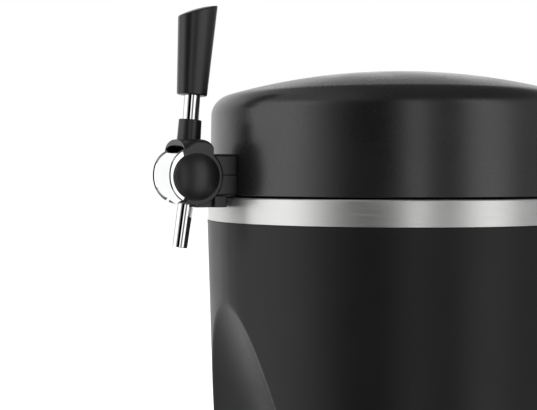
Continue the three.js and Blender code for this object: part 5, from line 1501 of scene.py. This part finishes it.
@dataclass
class Lid(Assembly):
    """The domed lid with its liner, its insulation, the coupler and the beer line."""

    bottom: float = 301.2
    radius: float = 138.6
    wall_radius: float = 137.71
    shoulder: float = 15.8
    shoulder_x: float = 121.91
    dome: float = 456.6
    dome_centre: float = -64.1
    wall: float = 2.6
    line_height: float = 314.6
    line_radius: float = 4.5
    line_start: float = -121.7
    line_end: float = -17.3
    line_bend: float = 24.0
    barb_height: float = 330.05
    barb_length: float = 20.0
    shank_bore: float = 6.3
    shank_y: float = -137.0
    hole_half: float = 10.0
    liner_hole: float = 4.8
    liner_hole_y: float = -105.0
    rim_radius: float = 135.7
    rim_bottom: float = 301.35
    liner_bore: float = 104.0
    liner_radius: float = 106.0
    liner_under: float = 348.35
    liner_wall: float = 2.0

    def profile(self, inward: float) -> list[Point2]:
        """The lid's outline from its bottom edge to the top of its dome, drawn in by a wall."""
        rise = math.sqrt((self.dome - self.shoulder) ** 2 - self.shoulder_x ** 2)
        middle = (self.shoulder_x, self.dome_centre + rise)
        slope = math.degrees(math.atan2(rise, self.shoulder_x))
        lean = math.degrees(math.atan2(self.radius - self.wall_radius, middle[1] - self.bottom))
        points = [(self.radius - inward, self.bottom)]
        points += arc(middle, self.shoulder - inward, lean, slope, 20)
        top = arc((0, self.dome_centre), self.dome - inward, slope, 90, 44)[1:]
        return points + [(max(x, 0), z) for x, z in top[:-1]] + [(0, top[-1][1])]

    def shell_object(self) -> bpy.types.Object:
        """The lid's shell with the hole for the tap's shank."""
        outside, inside = self.profile(0), self.profile(self.wall)
        edge = filleted([(outside[1][0], outside[1][1], 0), (self.radius, self.bottom, 0.7),
                         (inside[0][0], self.bottom, 0.5), (inside[1][0], inside[1][1], 0)], closed=False)
        skin = lathe(outside[:0:-1] + edge[1:-1] + inside[1:], FINE_STEPS, closed=False)
        shell = self.shop.mesh_object("lid", skin)
        hole = bar(self.shank_bore, -self.hole_half, self.hole_half).turned("x", 90)
        return self.shop.cut(shell, hole.moved(y=self.shank_y, z=self.line_height))

    def line_path(self) -> list[Point3]:
        """The beer line's middle: straight off both barbs, with one smooth curve between them."""
        low, high, barb, bend = self.line_height, self.barb_height, self.barb_length, self.line_bend
        start, end = np.array([self.line_start + barb, low]), np.array([self.line_end - barb, high])
        points = [(0.0, self.line_start, low), (0.0, self.line_start + barb / 2, low)]
        for share in np.linspace(0, 1, 21):
            a, b = start + [bend * share, 0], end - [bend * (1 - share), 0]
            ease = share * share * (3 - 2 * share)
            y, z = a * (1 - ease) + b * ease
            points.append((0.0, float(y), float(z)))
        return points + [(0.0, self.line_end - barb / 2, high), (0.0, self.line_end, high)]

    def line_object(self) -> bpy.types.Object:
        """The beer line, swept along its path."""
        path = self.line_path()
        mesh = bpy.data.meshes.new("line")
        mesh.from_pydata([self.shop.place(*p) for p in path], [(i, i + 1) for i in range(len(path) - 1)], [])
        return self.shop.grown(placed("line", mesh), self.shop.growth.hose, Radius=self.line_radius * METRES,
                               Finish=self.shop.materials[Slot.CLEAR_TUBE.value])

    def build(self) -> None:
        """Makes the lid and what it carries inside."""
        self.keep(self.shell_object(), Slot.SATIN_BLACK, "lid", "lid_shell", sharp=38, look=LID_LOOK)
        top = self.liner_under + self.liner_wall
        rim = self.rim_bottom + self.liner_wall
        liner = spun([(0, self.liner_under, 0), (self.liner_bore, self.liner_under, 3.0),
                      (self.liner_bore, self.rim_bottom, 1.2), (self.rim_radius, self.rim_bottom, 0.6),
                      (self.rim_radius, rim, 0.6), (self.liner_radius, rim, 0.8),
                      (self.liner_radius, top, 3.0), (0, top, 0)])
        obj = self.shop.mesh_object("liner", liner)
        hole = bar(self.liner_hole, -self.hole_half, self.hole_half).turned("x", 90)
        self.shop.cut(obj, hole.moved(y=self.liner_hole_y, z=self.line_height))
        self.keep(obj, Slot.GREY_PLASTIC, "lid", "lid_liner", sharp=38)
        self.refine("lid_foam", Slot.FOAM, "lid", 0.8)
        self.refine("coupler_body", Slot.GREY_PLASTIC, "lid", 0.5)
        self.refine("coupler_seal", Slot.RUBBER, "lid", 0.3)
        self.keep(self.line_object(), Slot.CLEAR_TUBE, "lid", "beer_line")


@dataclass
class Tap(Assembly):
    """The tap: its block, drum, chrome shroud, spout and latch, and the lever with its caps and grip."""

    reach: float = 167.6
    height: float = 314.6
    drum_radius: float = 19.5
    drum_bore: float = 8.4
    half_width: float = 16.8
    shroud_top: float = 79.0
    shroud_end: float = -58.0
    shroud_inside: float = 18.0
    cheek_inside: float = 16.5
    lean: float = 4.6
    lever_foot: float = 22.0
    squareness: float = 2.3
    spout_lean: float = 8.4
    plate_out: float = 18.9
    plate_in: float = 17.1
    plate_rear: float = 12.0
    ear_radius: float = 16.3
    saddle_radius: float = 21.0
    saddle_half: float = 15.0
    bulge: float = 1.1
    lever_shift: float = 0.8
    drum_step: float = 1.3
    under_room: float = 0.3
    cheek_room: float = 0.4
    cut_above: float = 0.8
    cut_below: float = 8.6
    cut_jump: float = 0.3
    rim: tuple[Point2, ...] = ((0.0, -0.85), (0.72, 0.0), (0.82, 0.0), (1.44, -0.8))
    bulge_start: float = -5.0
    bulge_degrees: float = 53.0
    lip_start: float = -36.0
    lip_degrees: float = 30.0
    lip_reach: float = 8.0
    lip_lift: float = 2.2
    lip_half: float = 8.5
    lip_ease: float = 0.8
    hood_top: float = 25.7
    hood_foot: float = 17.5
    hood_gap: float = 3.0
    hood_base: float = 10.5
    hood_front: float = -9.4
    hood_lead: float = -7.4
    hood_brow: float = 2.0
    brow_start: float = 11.4
    brow_height: float = 6.5
    fall_start: float = 4.0
    fall_length: float = 8.2
    fall_depth: float = 6.4
    round_power: float = 2.0
    square_power: float = 5.0
    square_share: float = 0.42
    square_ease: float = 1.5
    gap_share: float = 0.45
    gap_ease: float = 1.2
    brow_ease: float = 0.8
    ear_inset: float = 0.04
    neck: tuple[Point2, ...] = ((0, -1.6), (9.0, -1.6), (8.6, 2.6), (8.25, 4.4), (8.2, 5.66), (0, 5.66))
    cap_radius: float = 15.9
    cap_rise: float = 4.8
    cap_edge: float = 0.8
    cap_x: float = 19.1
    spigot_radius: float = 3.6
    spigot_depth: float = 1.8
    throat_radius: float = 5.9
    throat: tuple[float, float] = (-24.0, -9.0)
    inlet_radius: float = 6.1
    inlet: tuple[float, float] = (-26.0, -9.0)
    spout_y: float = 1.2
    spout_bore: float = 4.0
    spout_head: float = 5.8
    spout_tip: float = 5.4
    spout_top: float = -13.0
    spout_bottom: float = -49.6
    lug_radius: float = 1.9
    lug_half: float = 0.4
    lug_x: float = 14.1
    lug_y: float = -149.0
    lug_z: float = 296.4
    sleeve_foot: float = 8.2
    sleeve_head: float = 7.9
    sleeve_low: float = 5.7
    sleeve_high: float = 17.5
    socket_radius: float = 6.1
    rod_radius: float = 5.8
    rod_low: float = 8.0
    rod_high: float = 45.1
    rod_room: float = 0.3
    socket_low: float = 30.0

    def at_pivot(self, skin: Skin) -> Skin:
        """Moves a skin made about the tap's pivot to its place."""
        return skin.moved(y=-self.reach, z=self.height)

    def on_lever(self, skin: Skin) -> Skin:
        """Moves a skin made along the lever's own axis to its place."""
        return self.at_pivot(skin.turned("x", -self.lean).moved(y=self.lever_shift, z=self.lever_foot))

    def drum_skin(self) -> Skin:
        """The fixed drum, cut down where the shroud lies on it."""
        half, full, step = self.half_width, self.drum_radius, self.half_width - self.drum_step
        cheek, room = self.cheek_inside, self.under_room
        top = filleted([(-half, self.drum_bore, 0), (-half, full, 0.55), (half, full, 0.55),
                        (half, self.drum_bore, 0)], closed=False)
        middle = len(top) // 2
        loop = [top[0], (-half, cheek - self.cheek_room)] + top[1:middle]
        loop += [(-step, full), (0.1 - step, full), (step - 0.1, full), (step, full)]
        loop += top[middle:-1] + [(half, cheek - self.cheek_room), top[-1]]
        start, end, jump = self.shroud_top + self.cut_above, self.shroud_end - self.cut_below, self.cut_jump
        angles = list(np.linspace(start, end, 45)) + [end - jump] + list(np.linspace(end - 4, start - 356, 84))
        angles.append(start - (360 - jump))
        rings = []
        for degrees in angles:
            angle = math.radians(degrees)
            under = end - 0.01 <= degrees <= start + 0.01
            ring = []
            for x, r in loop:
                limit = cheek - room if abs(x) > step - 0.05 else self.shroud_inside - room
                reach = min(r, limit) if under else r
                ring.append((x, -reach * math.cos(angle), reach * math.sin(angle)))
            rings.append(np.array(ring))
        return loft(rings, closed=True)

    def shroud_skin(self) -> Skin:
        """The chrome shroud: a curved plate with cheeks at its sides and a lip at its bottom."""
        half, outer, inner, cheek = self.half_width, self.drum_radius, self.shroud_inside, self.cheek_inside
        base = [(-half, cheek)] + [(x - half, outer + drop) for x, drop in self.rim]
        base += [(x, outer + self.rim[-1][1]) for x in (-half / 2, 0, half / 2)]
        base += [(half - x, outer + drop) for x, drop in self.rim[::-1]]
        base += [(half, cheek), (half - 1, cheek), (half - 1, inner), (half / 2, inner), (0, inner),
                 (-half / 2, inner), (1 - half, inner), (1 - half, cheek)]
        rings = []
        for share in np.linspace(0, 1, 49):
            ring = []
            for x, r in base:
                middle = 1 - min(abs(x) / half, 1)
                end = self.shroud_end - self.lip_reach * middle ** self.lip_ease
                degrees = self.shroud_top + (end - self.shroud_top) * share
                lift = float(np.clip((self.lip_start - degrees) / self.lip_degrees, 0, 1)) * self.lip_lift
                lift *= max(0.0, 1 - (x / self.lip_half) ** 2)
                rise = float(np.clip((degrees - self.bulge_start) / self.bulge_degrees, 0, 1))
                bulge = self.bulge * rise * rise * (3 - 2 * rise) if r > inner + 0.1 else 0.0
                angle = math.radians(degrees)
                ring.append((x, -(r + lift + bulge) * math.cos(angle), (r + lift + bulge) * math.sin(angle)))
            rings.append(np.array(ring))
        return loft(rings)

    def hood_ring(self, share: float) -> np.ndarray:
        """A section across the yoke, from its arched front at 0 to its rear at 1."""
        y = self.hood_front + (self.plate_rear - self.hood_front) * share
        fall = float(np.clip((y - self.fall_start) / self.fall_length, 0, 1))
        top = self.hood_top - self.fall_depth * (1 - math.sqrt(1 - fall * fall))
        squared = float(np.clip(share / self.square_share, 0, 1)) ** self.square_ease
        power = self.round_power + self.square_power * squared
        gap = self.hood_gap * float(np.clip(1 - share / self.gap_share, 0, 1)) ** self.gap_ease
        under = math.sqrt(self.saddle_radius ** 2 - min(abs(y), self.saddle_half) ** 2)
        base, count = self.hood_base, SMALL_STEPS
        outer = []
        for a in np.linspace(0, math.pi, count + 1):
            c, s = math.cos(a), math.sin(a)
            outer.append((self.plate_out * np.sign(c) * abs(c) ** (2 / power),
                          self.hood_foot + (top - self.hood_foot) * abs(s) ** (2 / power)))
        inner = []
        for a in np.linspace(math.pi, 0, count + 1):
            inner.append((self.plate_in * math.cos(a), under + gap * math.sin(a)))
        loop = [(self.plate_out, base), *outer, (-self.plate_out, base), (-self.plate_in, base), *inner,
                (self.plate_in, base)]
        points = np.array([(x, 0.0, z) for x, z in loop])
        brow = np.clip((points[:, 2] - self.brow_start) / self.brow_height, 0, 1) ** self.brow_ease
        lead = self.hood_lead - self.hood_brow * brow
        points[:, 1] = lead * (1 - share) + self.plate_rear * share
        return points

    def yoke_object(self) -> bpy.types.Object:
        """The yoke: an arched saddle over the drum, an ear at each end, and the neck for the sleeve."""
        shares = np.concatenate([[0, 0.012], np.linspace(0.04, 1, 28)])
        yoke = self.shop.mesh_object("yoke", self.at_pivot(loft([self.hood_ring(s) for s in shares])))
        ears = []
        for side in (-1, 1):
            middle = (self.plate_in + self.plate_out) / 2
            half = (self.plate_out - self.plate_in) / 2 - self.ear_inset
            ear = bar(self.ear_radius, -half, half, 0.3, MIDDLE_STEPS).turned("y", 90)
            ears.append(self.at_pivot(ear.moved(x=side * middle)))
        self.shop.cut(yoke, ears[0].with_others(ears[1]), operation="UNION")
        self.shop.softened(yoke, 0.35, angle=40, segments=3)
        neck = self.on_lever(lathe(self.neck, MIDDLE_STEPS, closed=False))
        return self.shop.cut(yoke, neck, operation="UNION")

    def cap_skin(self, side: int) -> Skin:
        """A domed cap with a spigot hole behind, on one side."""
        radius, edge, spigot, depth = self.cap_radius, self.cap_edge, self.spigot_radius, self.spigot_depth
        rise = self.cap_rise - edge
        sphere = (radius ** 2 + rise ** 2) / (2 * rise)
        reach = math.asin((radius - 0.5) / sphere)
        profile = filleted([(0, depth, 0), (spigot, depth, 0), (spigot, 0, 0.2), (radius, 0, 0.25),
                            (radius, edge + 0.1, 0.4), (radius - 0.8, edge + 0.45, 0)], closed=False)[:-1]
        profile += [(sphere * math.sin(reach * s), self.cap_rise - sphere + sphere * math.cos(reach * s))
                    for s in np.linspace(1, 0, 20)]
        profile[-1] = (0, self.cap_rise)
        return lathe(profile, MIDDLE_STEPS, closed=False).turned("y", 90 * side).moved(x=side * self.cap_x)

    def grip_skin(self) -> Skin:
        """The grip: a squarish oval that widens upwards to a slanted, crowned top."""
        bottom, front, rear, shift, edge, crown = 34.4, 88.6, 98.8, -0.1, 1.2, 1.4
        foot, top = (9.0, 10.5), (10.5, 13.5)
        rings = []

        def add(width: float, depth: float, heights: Callable[[np.ndarray], np.ndarray]) -> None:
            """Adds a ring of a half-width, a half-depth and a rule for its heights."""
            ring = squarish_oval(width, depth, self.squareness, MIDDLE_STEPS)
            rings.append(np.column_stack([ring[:, 0], ring[:, 1] + shift, heights(ring)]))

        def slant(ring: np.ndarray) -> np.ndarray:
            """The top's height over a ring."""
            share = np.clip((ring[:, 1] + top[1]) / (2 * top[1]), 0, 1)
            return front + (rear - front) * share

        for a in np.linspace(0, math.pi / 2, 5)[:-1]:
            inset, height = edge * (1 - math.sin(a)), bottom + edge * (1 - math.cos(a))
            add(foot[0] - inset, foot[1] - inset, lambda ring, h=height: np.full(len(ring), h))
        low = bottom + edge
        for share in np.linspace(0, 1, 27):
            add(foot[0] + (top[0] - foot[0]) * share, foot[1] + (top[1] - foot[1]) * share,
                lambda ring, s=share: low + (slant(ring) - edge - low) * s)
        for a in np.linspace(0, math.pi / 2, 6)[1:]:
            inset, drop = edge * (1 - math.cos(a)), edge * (1 - math.sin(a))
            add(top[0] - inset, top[1] - inset, lambda ring, d=drop: slant(ring) - d)
        for share in np.linspace(1, 0, 12)[1:-1]:
            add((top[0] - edge) * share, (top[1] - edge) * share,
                lambda ring, s=share: slant(ring) + crown * (1 - s * s))
        return loft(rings)

    def build(self) -> None:
        """Makes the tap's fixed pieces and its lever."""
        shop = self.shop
        drum = shop.mesh_object("tap_drum", self.at_pivot(self.drum_skin()))
        throat = bar(self.throat_radius, *self.throat).turned("x", -self.spout_lean).moved(y=self.spout_y)
        inlet = bar(self.inlet_radius, *self.inlet).turned("x", 90)
        shop.cut(drum, self.at_pivot(throat.with_others(inlet)))
        self.keep(drum, Slot.GLOSS_BLACK, "lid", "tap_body")
        self.shape("shroud", self.at_pivot(self.shroud_skin()), Slot.CHROME, "lid", "tap_shroud")
        bore, high, low = self.spout_bore, self.spout_top, self.spout_bottom
        spout = lathe(filleted([(bore, high, 0.3), (self.spout_head, high, 0.3), (self.spout_tip, low, 0.5),
                                (bore, low, 0.4)]), MIDDLE_STEPS).turned("x", -self.spout_lean)
        self.shape("spout_tube", self.at_pivot(spout.moved(y=self.spout_y)), Slot.CHROME, "lid", "spout")
        self.refine("tap_shank", Slot.STEEL, "lid", 0.3)
        self.refine("shank_nut", Slot.STEEL, "lid", 0.4)
        self.refine("block_upper", Slot.GLOSS_BLACK, "lid", 0.5)
        lower = shop.refined("block_lower", 0.5)
        plug = bar(self.lug_radius, -self.lug_half, self.lug_half).turned("y", 90)
        plugs = plug.moved(x=-self.lug_x).with_others(plug.moved(x=self.lug_x))
        shop.cut(lower, plugs.moved(y=self.lug_y, z=self.lug_z), operation="UNION")
        self.keep(lower, Slot.GLOSS_BLACK, "lid", "block_lower")
        self.refine("lid_latch", Slot.GLOSS_BLACK, "lid_latch", 0.5)
        self.refine("valve_plug", Slot.STEEL, "tap_lever", 0.3)
        self.keep(self.yoke_object(), Slot.GLOSS_BLACK, "tap_lever", "lever_yoke", sharp=40)
        for side, name in ((1, "right"), (-1, "left")):
            self.shape(f"cap_{name}", self.at_pivot(self.cap_skin(side)), Slot.GLOSS_BLACK, "tap_lever",
                       f"lever_cap_{name}")
        low, high, floor, socket = self.sleeve_low, self.sleeve_high, self.rod_low - self.rod_room, self.socket_radius
        sleeve = spun([(0, low, 0), (self.sleeve_foot, low, 0.05), (self.sleeve_head, high, 0.5),
                       (socket, high, 0.2), (socket, floor, 0.1), (0, floor, 0)], MIDDLE_STEPS)
        self.shape("sleeve", self.on_lever(sleeve), Slot.GLOSS_BLACK, "tap_lever", "lever_sleeve")
        rod = bar(self.rod_radius, self.rod_low, self.rod_high, 0.4, MIDDLE_STEPS)
        self.shape("rod", self.on_lever(rod), Slot.CHROME, "tap_lever", "lever_rod")
        grip = shop.mesh_object("grip", self.on_lever(self.grip_skin()))
        shop.cut(grip, self.on_lever(bar(socket, self.socket_low, self.rod_high + self.rod_room)))
        self.keep(grip, Slot.GLOSS_BLACK, "tap_lever", "lever_grip", sharp=40)


@dataclass(frozen=True)
class Lamp:
    """A soft lamp that faces the object, in degrees from the front and from the level, metres and watts."""

    name: str
    azimuth: float
    elevation: float
    distance: float
    width: float
    height: float
    watts: float
    aim_height: float = 0.2

    def build(self, axis: Vector) -> None:
        """Makes the lamp, which neither the camera nor the shiny pieces see.

        Args:
            axis: The cabinet's axis.
        """
        data = bpy.data.lights.new(self.name, "AREA")
        data.shape = "RECTANGLE"
        data.size, data.size_y, data.energy = self.width, self.height, self.watts
        lamp = placed(self.name, data)
        a, e = math.radians(self.azimuth), math.radians(self.elevation)
        toward = Vector((math.sin(a) * math.cos(e), -math.cos(a) * math.cos(e), math.sin(e)))
        lamp.location = axis + Vector((0, 0, self.aim_height)) + self.distance * toward
        faced(lamp, -toward)
        lamp.visible_camera = False
        lamp.visible_glossy = False


@dataclass(frozen=True)
class Studio:
    """The camera, the floor, the lamps and the room that the shiny pieces mirror.

    The room is a list of walls: degrees from the camera's side, counterclockwise from above, and brightness.
    """

    azimuth: float = 57.7
    distance: float = 850.0
    focal_pixels: float = 1111.6
    eye_height: float = 316.06
    yaw: float = 6.38
    pitch: float = 1.57
    image_width: float = 537.0
    sensor: float = 36.0
    floor_size: float = 6.0
    floor_tones: tuple[float, float] = (0.84, 0.87)
    floor_mottle: float = 60.0
    floor_roughness: float = 0.9
    floor_glow: float = 0.7
    lamps: tuple[Lamp, ...] = (
        Lamp("front_lamp", -12, 28, 1.9, 0.9, 1.5, 26), Lamp("side_lamp", 135, 25, 2.0, 1.0, 1.5, 14),
        Lamp("top_lamp", 60, 80, 1.9, 1.4, 1.4, 14))
    soft_light: float = 0.5
    overhead_start: float = 0.5
    overhead_end: float = 0.57
    behind_start: float = -0.85
    behind_end: float = -0.93
    behind_times: float = 1.6
    left_start: float = -0.15
    left_end: float = -0.5
    left_dark: float = 0.12
    left_light: float = 0.5
    room: tuple[tuple[float, float], ...] = (
        (-180, 1.9), (-168, 1.1), (-116, 1.05), (-111, 0.2), (-104, 0.2), (-98, 1.2), (-86, 1.2), (-74, 1.35),
        (-62, 1.45), (-56, 1.35), (-47, 0.8), (-36, 0.3), (-25, 0.0), (4, 0.0), (10, 1.35), (18, 1.35), (22, 0.15),
        (40, 0.2), (48, 1.35), (64, 1.35), (78, 0.4), (120, 0.3), (150, 0.6), (168, 1.1), (180, 1.9))

    def camera(self) -> bpy.types.Object:
        """Makes the camera with the photograph's angle of view."""
        data = bpy.data.cameras.new("camera")
        data.sensor_width = self.sensor
        data.lens = self.focal_pixels * self.sensor / self.image_width
        bpy.context.scene.camera = placed("camera", data)
        return bpy.context.scene.camera

    def aim(self, camera: bpy.types.Object, axis: Vector) -> None:
        """Places the camera about the cabinet's axis."""
        angle, yaw, pitch = (math.radians(v) for v in (self.azimuth, self.yaw, self.pitch))
        out = Vector((math.sin(angle), -math.cos(angle), 0))
        side = Vector((math.cos(angle), math.sin(angle), 0))
        camera.location = axis + out * self.distance * METRES + Vector((0, 0, self.eye_height * METRES))
        forward = (-out * math.cos(yaw) - side * math.sin(yaw)) * math.cos(pitch) - Vector((0, 0, math.sin(pitch)))
        faced(camera, forward)

    def floor_material(self) -> bpy.types.Material:
        """A pale matt floor with faint mottling, lighter where the camera looks at it directly."""
        material = bpy.data.materials.new("floor_white")
        material.use_nodes = True
        bench = Bench(material.node_tree)
        shader = material.node_tree.nodes["Principled BSDF"]
        shader.inputs["Roughness"].default_value = self.floor_roughness
        place = bench.add("ShaderNodeTexCoord").outputs["Object"]
        mottle = bench.mapped(bench.noise(place, self.floor_mottle, 4), 0, 1)
        dark, light = ((tone, tone, tone, 1) for tone in self.floor_tones)
        bench.join(bench.blend(mottle, dark, light, "RGBA"), shader.inputs["Base Color"])
        shader.inputs["Emission Color"].default_value = (1, 1, 1, 1)
        path = bench.add("ShaderNodeLightPath")
        glow = bench.reckoned(path.outputs["Is Camera Ray"], self.floor_glow)
        bench.join(glow, shader.inputs["Emission Strength"])
        return material

    def build(self, axis: Vector) -> None:
        """Makes the floor, the lamps and the room."""
        bpy.context.scene.view_settings.view_transform = "Standard"
        size = self.floor_size
        mesh = bpy.data.meshes.new("floor")
        mesh.from_pydata([(-size, -size, 0), (size, -size, 0), (size, size, 0), (-size, size, 0)], [],
                         [(0, 1, 2, 3)])
        mesh.materials.append(self.floor_material())
        floor = placed("floor", mesh)
        floor.visible_glossy = False
        for lamp in self.lamps:
            lamp.build(axis)
        self.build_room()

    def build_room(self) -> None:
        """Makes the world: white behind, grey for soft light, and light and dark walls for mirrors."""
        world = bpy.data.worlds.new("room")
        bpy.context.scene.world = world
        world.use_nodes = True
        bench = Bench(world.node_tree)
        coordinates = bench.add("ShaderNodeTexCoord").outputs["Generated"]
        turn = bench.add("ShaderNodeMapping", Rotation=(0, 0, math.radians(90 - self.azimuth)), Vector=coordinates)
        wheel = bench.add("ShaderNodeTexGradient", gradient_type="RADIAL", Vector=turn.outputs["Vector"])
        walls = bench.add("ShaderNodeValToRGB", Fac=wheel.outputs["Fac"])
        ramp = walls.color_ramp
        ramp.elements.remove(ramp.elements[-1])
        for degrees, value in self.room:
            place = 0.5 + degrees / 360
            stop = ramp.elements[0] if place <= 0 else ramp.elements.new(place)
            stop.color = (value, value, value, 1)
        parts = bench.add("ShaderNodeSeparateXYZ", Vector=turn.outputs["Vector"])
        behind = bench.mapped(parts.outputs["X"], 1.0, self.behind_times, self.behind_start, self.behind_end)
        steepness = bench.reckoned(bench.reckoned(parts.outputs["Z"], operation="ABSOLUTE"), behind)
        overhead = bench.mapped(steepness, 0, 1, self.overhead_start, self.overhead_end)
        leftward = bench.mapped(parts.outputs["Y"], self.left_dark, self.left_light, self.left_start,
                                self.left_end)
        mirrored = bench.blend(overhead, walls.outputs["Color"], leftward, "RGBA")
        path, soft = bench.add("ShaderNodeLightPath"), self.soft_light
        seen = bench.blend(path.outputs["Is Glossy Ray"], (soft, soft, soft, 1), mirrored, "RGBA")
        direct = bench.reckoned(path.outputs["Is Camera Ray"], path.outputs["Is Transmission Ray"], "MAXIMUM")
        white = bench.blend(direct, seen, (1, 1, 1, 1), "RGBA")
        bench.join(white, world.node_tree.nodes["Background"].inputs["Color"])


def main() -> None:
    """Builds the whole scene."""
    logging.basicConfig(level=logging.INFO, format="%(name)s: %(message)s")
    studio = Studio()
    camera = studio.camera()
    shop = Workshop.opened()
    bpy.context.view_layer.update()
    studio.aim(camera, shop.axis)
    for kind in (Cabinet, Inside, Tray, Cooler, Panel, Hinge, Lid, Tap):
        assembly = kind(shop)
        assembly.build()
        assembly.dress()
    studio.build(shop.axis)


if __name__ == "__main__":
    main()
